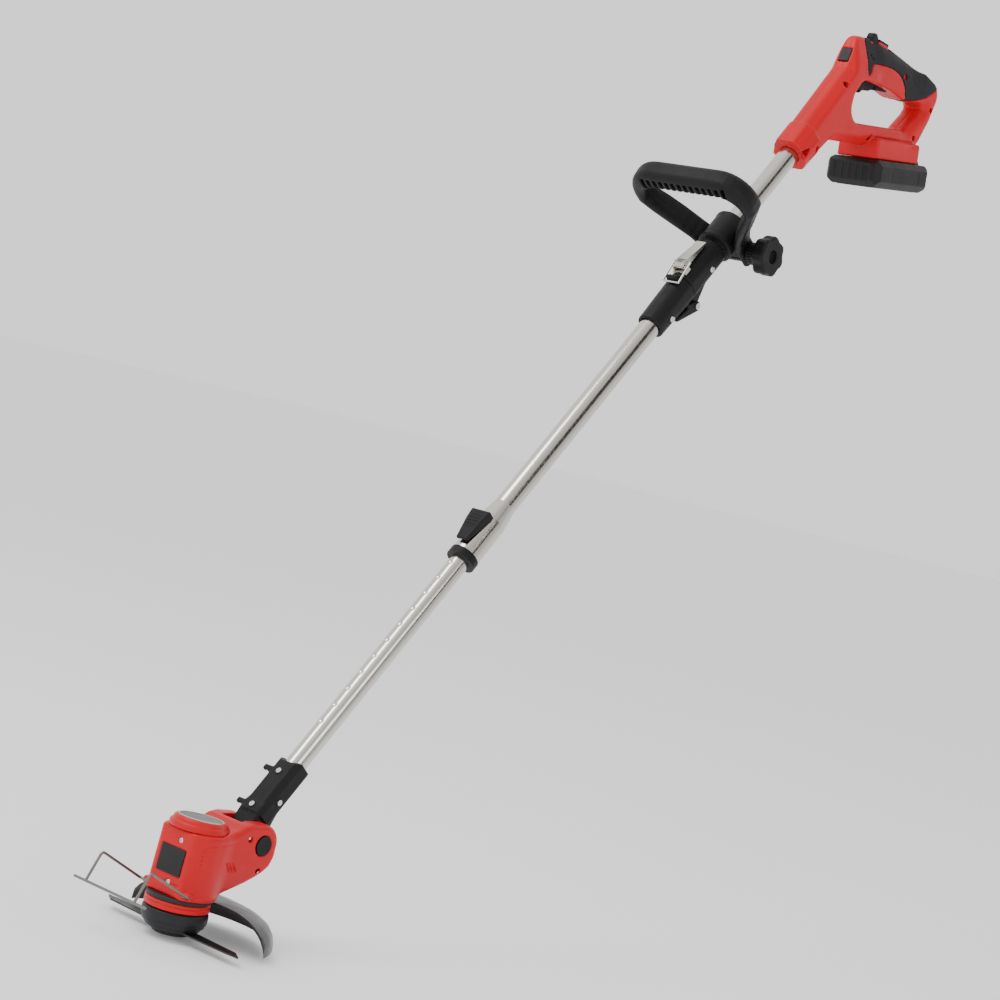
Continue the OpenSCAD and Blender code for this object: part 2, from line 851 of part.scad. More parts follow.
module cutting_cup() {
    color("#4a4b4d") in_head() difference() {
        rotate_extrude() polygon([
            [spindle_r + fit, -2], [10, -2], [10, -6], [19, -6], [21, -2], [29, 0], [31, 4], [34, 6],
            [35.5, 11], [35, 17], [32, 19.4], [spindle_r + fit, 19.4]]);
        block([-9.1, -40, -0.9], [9.1, 40, 0.9]);
    }
}

module blade() {
    thick = 0.8;
    color("#555555") in_head() difference() {
        translate([0, 0, -thick]) linear_extrude(2 * thick) polygon([
            [-9, -20], [-9, 20], [-6, blade_reach - 14], [4, blade_reach], [6, blade_reach - 14],
            [9, 20], [9, -20], [6, 14 - blade_reach], [-4, -blade_reach], [-6, 14 - blade_reach]]);
        post(spindle_r + fit, -5, 5);
    }
}

module blade_nut() {
    color(steel) in_head() difference() {
        translate([0, 0, -6.6]) cylinder(r = 7, h = 4.5, $fn = 6);
        post(spindle_r + fit, -8, 0);
    }
}

// ---------- clamp, front handle and knob ----------

module clamp_collar() {
    color(black) in_pole() difference() {
        union() {
            post(clamp_r, clamp_low, clamp_high);
            slab(-arm_in + gap, arm_in - gap) hull() {
                translate([bolt_x, bolt_z]) circle(r = 11, $fn = 32);
                translate([-10, bolt_z]) circle(r = 11, $fn = 32);
            }
        }
        post(tube_r + 0.1, clamp_low - 1, clamp_high + 1);
        block([-50, -1, clamp_low - 1], [0, 1, clamp_high + 1]);
        cross_pin(bolt_x, bolt_z, bolt_r + fit, -40, 40);
    }
}

module clamp_bolt() {
    color(steel) in_pole() union() {
        cross_pin(bolt_x, bolt_z, bolt_r, -31, knob_out - 8);
        translate([bolt_x, -arm_out - gap, bolt_z]) rotate([90, 0, 0]) cylinder(r = 6, h = 4.5, $fn = 6);
    }
}

// Half of the loop's outline, as seen along the pole: y outwards, v away from the bolt
loop_half = loop_w / 2;
outer_side = concat([[arm_out, -11]], [[arm_out, 15], [arm_out + 7, 30], [52, 50], [loop_half - 2, 84]],
    arc(loop_half - 40, loop_h + bar_thick / 2 - 40, 40, 0, 90, 8));
inner_side = concat([[arm_in, -11]], [[arm_in, 26], [40, 56], [loop_half - arm_thick - 3, 86]],
    arc(loop_half - arm_thick - 26, loop_h - bar_thick / 2 - 22, 22, 10, 90, 6));
// The far arm stands further out than the near one
function widened(points) = [for (p = points) [p.x + far_arm_extra * min(1, max(0, (p.y - 26) / 58)), p.y]];
function flipped_back(points) = [for (p = points) [-p.x, p.y]];
function backwards(points) = [for (i = [len(points) - 1:-1:0]) points[i]];
function flipped(points) = [for (i = [len(points) - 1:-1:0]) [-points[i].x, points[i].y]];

module front_handle() {
    color(black) in_pole() translate([bolt_x, 0, bolt_z]) rotate([0, loop_lean, 0]) difference() {
        translate([0, 0, -loop_depth / 2]) rotate([0, 0, -90]) linear_extrude(loop_depth)
            polygon(concat(outer_side, flipped(widened(outer_side)), flipped_back(widened(inner_side)),
                backwards(inner_side)));
        cross_pin(0, 0, bolt_r + 0.1, -40, 40);
    }
}

module knob() {
    color(black) in_pole() difference() {
        union() {
            translate([bolt_x, knob_out, bolt_z]) rotate([90, 0, 0]) linear_extrude(knob_out - knob_in)
                polygon([for (i = [0:83]) let (a = 360 * i / 84, r = knob_r - 2 + 2 * cos(knob_lobes * a))
                    [r * cos(a), r * sin(a)]]);
            cross_pin(bolt_x, bolt_z, 13, arm_out + gap, knob_in);
        }
        cross_pin(bolt_x, bolt_z, 10, knob_out - 6, knob_out + 1);
        cross_pin(bolt_x, bolt_z, 5 + fit, knob_in, knob_out - 5);
        cross_pin(bolt_x, bolt_z, bolt_r + 0.1, 0, knob_in + 1);
    }
}

module knob_insert() {
    color("#c8a050") in_pole() difference() {
        cross_pin(bolt_x, bolt_z, 5, knob_in + fit, knob_out - 6);
        cross_pin(bolt_x, bolt_z, bolt_r + 0.08, knob_in - 1, knob_out);
    }
}

handle_shell_left();
handle_shell_right();
grip_rubber_left();
grip_rubber_right();
handle_window();
handle_screws();
switch_block();
trigger_spring();
lock_off_spring();
terminal_block();
upper_tube();
upper_cable();
upper_sleeve();
upper_rivet();
latch_base();
trigger();
lock_off_button();
battery_case();
battery_cover();
battery_cells();
battery_latch();
battery_latch_spring();
clamp_collar();
clamp_bolt();
front_handle();
knob();
knob_insert();
latch_lever();
latch_bail();
lower_sleeve();
latch_catch();
middle_tube();
lower_rivet();
tube_ring();
middle_cable();
fold_pin();
height_button();
lower_tube();
bracket_left();
bracket_right();
bracket_screws();
lower_cable();
motor_housing_left();
motor_housing_right();
motor_cap();
head_plates();
housing_screws();
motor_can();
motor_bearings();
skirt_ring();
shield();
pivot_axle();
pivot_button();
guard_wire();
cutting_cup();
blade();
blade_nut();
rotor();
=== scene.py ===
"""Looks of the cordless lawn edger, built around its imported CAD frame.

Each moulded part is drawn as a distance field in millimetres, in the frame of the assembly that it
belongs to, and meshed. Round parts are turned profiles, and the shield and the wire guide are drawn
point by point. The tubes, the latch, most screws and the inner parts keep their CAD meshes.
"""

import json
import math

import bmesh
import bpy
import numpy as np
from mathutils import Matrix, Vector


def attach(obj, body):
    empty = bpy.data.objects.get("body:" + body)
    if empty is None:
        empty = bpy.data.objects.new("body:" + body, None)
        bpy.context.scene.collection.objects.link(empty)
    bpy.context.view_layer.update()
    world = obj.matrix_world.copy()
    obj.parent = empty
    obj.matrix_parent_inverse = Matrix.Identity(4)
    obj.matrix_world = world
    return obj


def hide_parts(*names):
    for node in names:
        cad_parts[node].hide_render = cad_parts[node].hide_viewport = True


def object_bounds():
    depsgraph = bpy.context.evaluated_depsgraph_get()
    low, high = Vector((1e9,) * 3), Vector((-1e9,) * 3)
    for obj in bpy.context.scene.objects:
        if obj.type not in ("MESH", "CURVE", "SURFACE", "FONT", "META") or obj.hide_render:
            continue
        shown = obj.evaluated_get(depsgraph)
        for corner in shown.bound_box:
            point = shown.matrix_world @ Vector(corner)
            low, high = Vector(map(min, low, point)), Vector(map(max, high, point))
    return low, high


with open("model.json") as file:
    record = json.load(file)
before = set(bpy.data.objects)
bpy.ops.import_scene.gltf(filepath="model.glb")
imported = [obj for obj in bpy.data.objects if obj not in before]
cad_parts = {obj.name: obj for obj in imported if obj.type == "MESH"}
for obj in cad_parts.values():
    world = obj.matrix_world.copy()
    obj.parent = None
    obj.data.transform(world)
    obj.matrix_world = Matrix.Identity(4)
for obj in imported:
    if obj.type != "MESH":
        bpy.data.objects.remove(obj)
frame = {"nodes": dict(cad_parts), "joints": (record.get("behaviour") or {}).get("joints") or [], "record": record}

cad_low, cad_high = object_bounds()
JOINTS = {j["name"]: j for j in frame["joints"]}
BODY_OF = {n: b for b, ns in frame["record"]["behaviour"]["bodies"].items() for n in ns}
SLOT_OF = {s["node"]: s["material_slot"] for s in frame["record"]["subparts"]}
MM = 0.001


# ---------- frames ----------

class Axes:
    """A local frame in millimetres: an origin in metres and three axes in the row frame."""

    def __init__(self, origin, x, z):
        self.x = Vector(x).normalized()
        self.z = Vector(z).normalized()
        self.y = self.z.cross(self.x)
        self.origin = Vector(origin)

    def at(self, x, y, z):
        return self.origin + MM * (x * self.x + y * self.y + z * self.z)

    def points(self, local):
        turn = np.array([self.x, self.y, self.z])
        return np.array(self.origin) + MM * (local @ turn)


def joint_axis(name):
    return Vector(JOINTS[name]["axis"])


GRIP_CENTRE = (-50, 0, 143)
FOLD_PIN = (-25, 0, 372)
BOLT = (-23, 0, 468)
LOOP_LEAN = math.radians(8.6)

UP_POLE = joint_axis("telescope_slide")
POLE_FRONT = -joint_axis("height_button_press")
in_handle = Axes((0, 0, 0), -joint_axis("battery_slide"), joint_axis("trigger_pull"))
in_handle.origin = -MM * (GRIP_CENTRE[0] * in_handle.x + GRIP_CENTRE[2] * in_handle.z)
in_pole = Axes((0, 0, 0), POLE_FRONT, UP_POLE)
pin_offset = MM * (FOLD_PIN[0] * in_pole.x + FOLD_PIN[2] * in_pole.z)
in_pole.origin = Vector(JOINTS["pole_fold"]["pos_m"]) - pin_offset
in_head = Axes(JOINTS["blade_spin"]["pos_m"], (1, 0, 0), (0, 0, 1))
loop_x = math.cos(LOOP_LEAN) * in_pole.x - math.sin(LOOP_LEAN) * in_pole.z
loop_z = math.sin(LOOP_LEAN) * in_pole.x + math.cos(LOOP_LEAN) * in_pole.z
in_loop = Axes(in_pole.at(*BOLT), loop_x, loop_z)


# ---------- distance fields ----------

class Field:
    """A grid of points between two corners. x, y and z broadcast over it."""

    def __init__(self, low, high, cell):
        self.low, self.cell = np.array(low, float), cell
        axes = [np.arange(a, b + cell, cell) for a, b in zip(low, high)]
        self.x = axes[0][:, None, None]
        self.y = axes[1][None, :, None]
        self.z = axes[2][None, None, :]


def polygon_distance(a, b, outline):
    """Signed distance to a closed outline in two broadcasting coordinates, below 0 inside."""
    a, b = np.broadcast_arrays(a, b)
    best = np.full(a.shape, 1e18)
    inside = np.zeros(a.shape, bool)
    for (x0, y0), (x1, y1) in zip(outline, outline[1:] + outline[:1]):
        ex, ey = x1 - x0, y1 - y0
        wx, wy = a - x0, b - y0
        t = np.clip((wx * ex + wy * ey) / max(ex * ex + ey * ey, 1e-9), 0, 1)
        best = np.minimum(best, (wx - t * ex) ** 2 + (wy - t * ey) ** 2)
        if y0 != y1:
            crosses = ((y0 > b) != (y1 > b)) & (a < (x1 - x0) * (b - y0) / (y1 - y0) + x0)
            inside ^= crosses
    return np.where(inside, -1, 1) * np.sqrt(best)


def smooth_outline(outline, rounds=2):
    """Cuts the corners of an outline, a quarter of each edge at a time."""
    for _ in range(rounds):
        cut = []
        for (x0, y0), (x1, y1) in zip(outline, outline[1:] + outline[:1]):
            cut.append((0.75 * x0 + 0.25 * x1, 0.75 * y0 + 0.25 * y1))
            cut.append((0.25 * x0 + 0.75 * x1, 0.25 * y0 + 0.75 * y1))
        outline = cut
    return outline


def union(a, b, soft=0.0):
    """Two fields joined, with a fillet over a soft width."""
    if not soft:
        return np.minimum(a, b)
    h = np.clip(0.5 + 0.5 * (b - a) / soft, 0, 1)
    return b * (1 - h) + a * h - soft * h * (1 - h)


def both(a, b, soft=0.0):
    """The overlap of two fields."""
    return -union(-a, -b, soft)


def cut(a, b, soft=0.0):
    """The first field less the second."""
    return both(a, -b, soft)


def box(f, low, high, r=0.0):
    """A box with rounded edges."""
    q = [np.abs(c - (l + h) / 2) - (h - l) / 2 + r for c, l, h in zip((f.x, f.y, f.z), low, high)]
    outer = np.sqrt(sum(np.maximum(v, 0) ** 2 for v in q))
    return outer + np.minimum(np.maximum(np.maximum(q[0], q[1]), q[2]), 0) - r


def prism(flat, along, half, r=0.0):
    """A flat distance given thickness along a third coordinate, with rounded edges."""
    w = np.abs(along) - half + r
    d = flat + r
    return np.minimum(np.maximum(d, w), 0) + np.sqrt(np.maximum(d, 0) ** 2 + np.maximum(w, 0) ** 2) - r


def pin(a, b, along, a0, b0, radius, low, high, r=0.0):
    """A round bar about the point a0, b0, with rounded ends."""
    return prism(np.hypot(a - a0, b - b0) - radius, along - (low + high) / 2, (high - low) / 2, r)


CORNERS = [(i, j, k) for i in (0, 1) for j in (0, 1) for k in (0, 1)]
STEPS = [(1, 0, 0), (0, 1, 0), (0, 0, 1)]
EDGES = [(a, b) for a in CORNERS for b in CORNERS if tuple(np.subtract(b, a)) in STEPS]


def surface(f, values):
    """Points and quads where the field is 0: one point in each cell that the surface crosses."""
    values = np.array(np.broadcast_to(values, (f.x.shape[0], f.y.shape[1], f.z.shape[2])), float)
    values[[0, -1]] = np.maximum(values[[0, -1]], 0.01)
    values[:, [0, -1]] = np.maximum(values[:, [0, -1]], 0.01)
    values[:, :, [0, -1]] = np.maximum(values[:, :, [0, -1]], 0.01)
    inside = values < 0
    shape = np.array(values.shape) - 1
    count = sum(
        inside[i : i + shape[0], j : j + shape[1], k : k + shape[2]].astype(np.int8) for i, j, k in CORNERS
    )
    cells = np.argwhere((count > 0) & (count < 8))
    index = np.full(shape, -1)
    index[tuple(cells.T)] = np.arange(len(cells))
    total, hits = np.zeros((len(cells), 3)), np.zeros(len(cells))
    for a, b in EDGES:
        va, vb = values[tuple((cells + a).T)], values[tuple((cells + b).T)]
        crossed = (va < 0) != (vb < 0)
        t = np.where(crossed, va / np.where(crossed, va - vb, 1), 0)
        total += np.where(crossed[:, None], np.array(a) + t[:, None] * np.subtract(b, a), 0)
        hits += crossed
    points = f.low + f.cell * (cells + total / hits[:, None])
    quads = []
    for axis in range(3):
        step = np.eye(3, dtype=int)[axis]
        j, k = np.eye(3, dtype=int)[(axis + 1) % 3], np.eye(3, dtype=int)[(axis + 2) % 3]
        first = inside[tuple(slice(0, n - s) for n, s in zip(inside.shape, step))]
        second = inside[tuple(slice(s, n) for n, s in zip(inside.shape, step))]
        for flip, crossing in ((False, first & ~second), (True, ~first & second)):
            at = np.argwhere(crossing)
            ring = [index[tuple((at - d).T)] for d in (j + k, k, 0 * j, j)]
            quads.append(np.stack(ring[::-1] if flip else ring, 1))
    return points, np.concatenate(quads)


# ---------- materials ----------

class Nodes:
    """A Principled material under construction."""

    def __init__(self, name, colour, rough, metal=0.0, specular=0.5):
        self.material = bpy.data.materials.new(name)
        self.material.use_nodes = True
        self.material.diffuse_color = (*colour, 1)
        self.tree = self.material.node_tree
        self.shader = self.tree.nodes["Principled BSDF"]
        self.shader.inputs["Metallic"].default_value = metal
        self.shader.inputs["Specular IOR Level"].default_value = specular
        self.rough = rough
        self.coords = self.tree.nodes.new("ShaderNodeTexCoord").outputs["Object"]

    def node(self, kind, **inputs):
        made = self.tree.nodes.new(kind)
        for key, value in inputs.items():
            socket = made.inputs[key.replace("_", " ")]
            if isinstance(value, bpy.types.NodeSocket):
                self.tree.links.new(value, socket)
            else:
                socket.default_value = value
        return made

    def noise(self, scale, detail=3.0, stretch=None):
        place = self.coords
        if stretch is not None:
            place = self.node("ShaderNodeMapping", Vector=self.coords, **stretch).outputs[0]
        return self.node("ShaderNodeTexNoise", Vector=place, Scale=scale, Detail=detail).outputs["Fac"]

    def spread(self, fac, low, high):
        """Maps the middle of a noise onto a range."""
        made = self.node("ShaderNodeMapRange", Value=fac, From_Min=0.3, From_Max=0.7, To_Min=low, To_Max=high)
        return made.outputs[0]

    def blend(self, fac, first, second):
        made = self.tree.nodes.new("ShaderNodeMix")
        made.data_type = "RGBA"
        self.tree.links.new(fac, made.inputs["Factor"])
        colour_a, colour_b, colour_out = 6, 7, 2
        made.inputs[colour_a].default_value = (*first, 1)
        made.inputs[colour_b].default_value = (*second, 1)
        return made.outputs[colour_out]

    def bump(self, height, distance, strength=1.0):
        made = self.node("ShaderNodeBump", Height=height, Distance=distance, Strength=strength)
        self.tree.links.new(made.outputs[0], self.shader.inputs["Normal"])

    def finish(self, colour, rough=None):
        self.tree.links.new(colour, self.shader.inputs["Base Color"])
        if rough is None:
            self.shader.inputs["Roughness"].default_value = self.rough
        else:
            self.tree.links.new(rough, self.shader.inputs["Roughness"])
        return self.material


def shade(colour, by):
    return tuple(min(1.0, c * by) for c in colour)


WEAR = 0.12


def moulded(name, colour, rough, grain=900, depth=0.00006, specular=0.5):
    """Moulded plastic or rubber: a fine grain, slow changes of tone and uneven gloss."""
    m = Nodes(name, colour, rough, specular=specular)
    broad = m.noise(14, 2)
    fine = m.noise(grain, 2)
    tone = m.blend(broad, shade(colour, 1 - WEAR), shade(colour, 1 + WEAR))
    m.bump(fine, depth)
    return m.finish(tone, m.spread(m.noise(60, 4), rough - 0.05, rough + 0.07))


def drawn_steel(name, colour, rough, along):
    """Polished steel with fine lines drawn along one direction of the row frame."""
    streak, tint = 0.05, 0.07
    m = Nodes(name, colour, rough, metal=1.0)
    turn = Vector((0, 0, 1)).rotation_difference(Vector(along)).inverted().to_euler()
    lines = m.noise(700, 3, {"Rotation": tuple(turn), "Scale": (1, 1, 0.012)})
    stains = m.noise(9, 3)
    tone = m.blend(stains, shade(colour, 1 - tint), shade(colour, 1 + tint))
    m.bump(lines, 0.00002, 0.35)
    return m.finish(tone, m.spread(lines, rough - streak, rough + streak))


def plated(name, colour, rough):
    """Bright plated or stamped metal with slight unevenness."""
    m = Nodes(name, colour, rough, metal=1.0)
    cloud = m.noise(120, 3)
    m.bump(m.noise(420, 2), 0.00003, 0.5)
    tone = m.blend(cloud, shade(colour, 0.86), shade(colour, 1.08))
    return m.finish(tone, m.spread(cloud, rough, rough + 0.14))


RED = (0.58, 0.005, 0.011)
BLACK = (0.008, 0.008, 0.009)
BATTERY_BLACK = (0.012, 0.012, 0.013)
RUBBER_GREY = (0.022, 0.022, 0.024)
SMOKE = (0.03, 0.028, 0.028)
LOOKS = {
    "red_plastic": moulded("red_plastic", RED, 0.38, specular=0.22),
    "black_plastic": moulded("black_plastic", BLACK, 0.48, grain=700, depth=0.00012, specular=0.18),
    "battery_plastic": moulded("battery_plastic", BATTERY_BLACK, 0.46, grain=700, depth=0.0001, specular=0.2),
    "grip_rubber": moulded("grip_rubber", RUBBER_GREY, 0.66, grain=1500, depth=0.00022, specular=0.16),
    "tube_steel": drawn_steel("tube_steel", (0.62, 0.585, 0.535), 0.17, UP_POLE),
    "bright_steel": plated("bright_steel", (0.62, 0.59, 0.54), 0.18),
    "wire_steel": plated("wire_steel", (0.22, 0.21, 0.2), 0.3),
    "blade_steel": plated("blade_steel", (0.06, 0.06, 0.06), 0.34),
    "smoke_plastic": moulded("smoke_plastic", SMOKE, 0.3, grain=300, depth=0.00004, specular=0.3),
    "cup_plastic": moulded("cup_plastic", (0.016, 0.017, 0.019), 0.42, specular=0.25),
    "plate": plated("plate", (0.14, 0.14, 0.14), 0.36),
    "spring_steel": plated("spring_steel", (0.6, 0.6, 0.6), 0.3),
    "cable_sheath": moulded("cable_sheath", (0.012, 0.012, 0.012), 0.6),
    "cell_wrap": moulded("cell_wrap", (0.03, 0.18, 0.38), 0.4),
    "motor_steel": plated("motor_steel", (0.5, 0.5, 0.49), 0.35),
    "rotor_copper": plated("rotor_copper", (0.6, 0.33, 0.19), 0.35),
    "brass": plated("brass", (0.7, 0.5, 0.22), 0.3),
}
GROOVE = moulded("dark_groove", (0.01, 0.01, 0.01), 0.6)
DARK_PLATE = moulded("dark_plate", (0.014, 0.014, 0.015), 0.4, specular=0.25)
DARK_SCREW = plated("dark_screw", (0.05, 0.05, 0.05), 0.4)


# ---------- pieces ----------

def piece(name, axes, points, faces, body, slot, replaces=(), material=None):
    """A mesh in local millimetres that rides on a body and stands in for CAD nodes."""
    mesh = bpy.data.meshes.new(name)
    places = axes.points(np.asarray(points, float)).tolist()
    mesh.from_pydata(places, [], [list(map(int, face)) for face in faces])
    mesh.validate()
    mesh.update()
    mesh.materials.append(material or LOOKS[slot])
    mesh.shade_smooth()
    made = bpy.data.objects.new(name, mesh)
    bpy.context.scene.collection.objects.link(made)
    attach(made, body)
    if replaces:
        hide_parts(*replaces)
    return made


def moulding(name, axes, f, values, body, slot, replaces=(), material=None):
    """A piece from a distance field."""
    points, quads = surface(f, values)
    return piece(name, axes, points, quads, body, slot, replaces, material)


def turned(name, axes, profile, body, slot, replaces=(), material=None, steps=96):
    """A profile of (radius, height) turned about the frame's z axis."""
    angles = np.radians(360 * np.arange(steps) / steps)
    n = len(profile)
    points = [(r * math.cos(a), r * math.sin(a), z) for a in angles for r, z in profile]
    faces = []
    for i in range(steps):
        here, there = i * n, ((i + 1) % steps) * n
        for k in range(n):
            m = (k + 1) % n
            faces.append((here + k, there + k, there + m, here + m))
    made = piece(name, axes, points, faces, body, slot, replaces, material)
    weld_by_angle(made)
    return made


def weld_by_angle(made, angle=35.0):
    """Joins doubled points, turns the faces outwards and keeps edges sharp past an angle in degrees."""
    bm = bmesh.new()
    bm.from_mesh(made.data)
    bmesh.ops.remove_doubles(bm, verts=bm.verts, dist=1e-6)
    bmesh.ops.recalc_face_normals(bm, faces=bm.faces)
    for e in bm.edges:
        if len(e.link_faces) == 2:
            e.smooth = e.calc_face_angle(0) < math.radians(angle)
    bm.to_mesh(made.data)
    bm.free()


def arc(x, z, r, a0, a1, n):
    """n + 1 points of a circle between two angles in degrees."""
    angles = [math.radians(a0 + (a1 - a0) * i / n) for i in range(n + 1)]
    return [(x + r * math.cos(a), z + r * math.sin(a)) for a in angles]


# ---------- rear handle ----------

HOUSING = (
    [(146, 7), (89, 51), (0, 51), (-93, 51), (-107, 66), (-124, 92)]
    + arc(-117, 123, 19, 205, 115, 7)
    + [(-74, 160), (-30, 172), (5, 179)]
    + arc(48, 169, 12, 100, 20, 4)
    + [(73, 141), (174, 37)]
)
HAND = (
    arc(42, 96, 20, 0, -90, 5)
    + arc(-70, 88, 12, -90, -150, 3)
    + [(-108, 104), (-104, 111), (-84, 112), (-57, 113), (-33, 120), (-4, 125.5), (24, 128.5), (44, 128.5)]
    + arc(50, 106, 10, 50, 10, 3)
)
RUBBER = [
    (37, 154), (40, 184), (-2, 186), (-30, 184), (-74, 174), (-118, 160), (-142, 142), (-128, 133),
    (-112, 123.5), (-92, 116), (-76, 113), (-62, 113), (-57, 120), (-56, 127), (-50, 135), (-37, 145),
    (-13, 150), (20, 151), (26, 149), (30, 139), (35, 134), (38, 140),
]
SHELL_SCREWS = [(80, 119), (11, 61), (126, 38), (-122, 106), (-90, 68)]
RUBBER_SCREWS = [(26, 158), (-53, 142)]
SCREW_ROOM_R, SCREW_SEAT = 3.6, 12.5
FLAT_TOP, FLANK, SLOPE = 9.5, 20.0, 0.95
GRIP_TOP, GRIP_HALF, GRIP_SLOPE, REAR_HALF = 5, 17.5, 0.85, 19.5
CROWN_HALF, CROWN_SPREAD, CROWN_Z = 6, 0.326, 183
COLLAR, COLLAR_CUT, COLLAR_HALF = (160, 22), 7.0, 21
NECK_TURN = math.radians(-47)
# The tube's bore through any part that it fits in
TUBE_BORE = 12.56


def collar_coords(f):
    """Along and across the pole's axis, from the end of the handle's collar."""
    dx, dz = f.x - COLLAR[0], f.z - COLLAR[1]
    along = dx * math.sin(NECK_TURN) + dz * math.cos(NECK_TURN)
    across = dx * math.cos(NECK_TURN) - dz * math.sin(NECK_TURN)
    return along, across


def handle_body(f):
    """The closed outer form of the rear handle, before the hand opening is cut."""
    outer = polygon_distance(f.x, f.z, HOUSING)
    half = np.abs(f.y)
    facet = (half - FLAT_TOP + SLOPE * outer) / math.hypot(1, SLOPE)
    body = both(outer, both(half - FLANK, facet, 2.5), 2.5)
    # The crown of the hump narrows towards its top
    crown = 0.95 * (half - CROWN_HALF - CROWN_SPREAD * (CROWN_Z - f.z))
    body = both(body, crown, 4)
    # Rounder over the grip, then flat-sided at the rear
    grip_slope = (half - GRIP_TOP + GRIP_SLOPE * outer) / math.hypot(1, GRIP_SLOPE)
    grip = both(half - GRIP_HALF, grip_slope, 9)
    on_grip = np.clip((18 - f.x) / 14, 0, 1) * np.clip((f.z - 84) / 20, 0, 1)
    body = body * (1 - on_grip) + both(outer, grip, 5) * on_grip
    at_rear = np.clip((-74 - f.x) / 26, 0, 1)
    body = body * (1 - at_rear) + both(outer, half - REAR_HALF, 7) * at_rear
    # The base over the battery, the six-sided collar and the lock-off button's platform
    body = union(body, box(f, (-93, -29.5, 35.7), (6.5, 29.5, 60.5), 2.2), 1.2)
    along, across = collar_coords(f)
    six = np.maximum(half * math.cos(math.pi / 6) + np.abs(across) * 0.5, np.abs(across)) - COLLAR_HALF
    body = union(body, both(both(six, -along - 0.4, 2.0), along - 40, 1), 5)
    body = both(body, np.where(f.x > 90, COLLAR_CUT - along, -20), 1.5)
    platform = polygon_distance(f.x, f.z, [(-22, 160), (-21, 176.5), (20, 184), (23, 166)])
    return union(body, prism(platform, f.y, 8.2, 1.2), 0.8)


def screw_recess(f, values, places, soft):
    """Screw wells in the left side."""
    for x, z in places:
        values = cut(values, pin(f.x, f.z, f.y, x, z, SCREW_ROOM_R, SCREW_SEAT, 60), soft)
    return values


def handle_shell(f, body, rubber_area):
    """The red shell: the body less the rubber's bed, its lines, wells and rooms."""
    shell = cut(body, np.maximum(rubber_area - 0.3, -(body + 1.8)), 0.5)
    # Parting line of the two halves and the step line over the base
    seam = np.maximum(np.abs(f.y) - 0.35, -(body + 0.7))
    shell = cut(shell, seam, 0.3)
    ledge = box(f, (-88, -40, 61.5), (2, 40, 62.7))
    shell = cut(shell, np.maximum(ledge, -(body + 0.9)), 0.4)
    # Tapering slot in the left side of the collar
    along, across = collar_coords(f)
    notch = np.maximum(np.abs(across - 2) - 3.2 + 0.35 * (along - 14), np.maximum(8 - along, along - 21))
    shell = cut(shell, np.maximum(notch, 15 - f.y), 0.8)
    shell = screw_recess(f, shell, SHELL_SCREWS, 0.6)
    window = polygon_distance(f.x, f.z, [(73, 148), (66, 146.4), (60, 163.4), (67, 166)])
    shell = cut(shell, prism(window, f.y, 7.4), 0.5)
    # Rooms for the tube, the battery's neck, rail and latch, the trigger and the lock-off button
    shell = cut(shell, pin(across, f.y, along, 0, 0, TUBE_BORE, -40, 79))
    for low, high in (
        ((-96, -16.4, 30), (-8, 16.4, 40)),
        ((-96, -20.4, 38.6), (-8, 20.4, 44.4)),
        ((-108, -9.4, 44), (-96.6, 9.4, 60)),
        ((-3.2, -7.4, 112), (39.2, 7.4, 150)),
        ((3, -5.4, 160), (19, 5.4, 200)),
    ):
        shell = cut(shell, box(f, low, high))
    return shell


def grip_skin(f, body, rubber_area):
    """The rubber: a skin over the grip, with an outlined pad at the rear."""
    skin = np.maximum(np.maximum(body - 0.35, -(body + 1.7)), rubber_area)
    pad = [(-64, 158), (-74, 136), (-92, 126), (-122, 130), (-132, 142), (-100, 170)]
    line = np.abs(polygon_distance(f.x, f.z, pad))
    skin = cut(skin, np.maximum(line - 0.5, -(body + 0.4)), 0.4)
    skin = cut(skin, box(f, (-23.5, -8.8, 160), (25, 8.8, 200)), 0.3)
    return screw_recess(f, skin, RUBBER_SCREWS, 0.5)


def make_handle():
    f = Field((-142, -31, 2), (184, 31, 190), 1.25)
    body = handle_body(f)
    hand = polygon_distance(f.x, f.z, smooth_outline(HAND, 1))
    strut = (np.abs(f.y) - 13 - 0.7 * hand) * 0.8
    body = both(body, np.where(f.x < -60, strut, -20), 3)
    body = cut(body, hand, 5.0)
    rubber_edge = polygon_distance(f.x, f.z, smooth_outline(RUBBER, 1))
    rubber_area = np.maximum(rubber_edge, 106 - f.z)
    moulding("handle_shell", in_handle, f, handle_shell(f, body, rubber_area), "rear_handle", "red_plastic",
             ["handle_shell_left", "handle_shell_right"])
    moulding("grip_rubber", in_handle, f, grip_skin(f, body, rubber_area), "rear_handle", "grip_rubber",
             ["grip_rubber_left", "grip_rubber_right"])


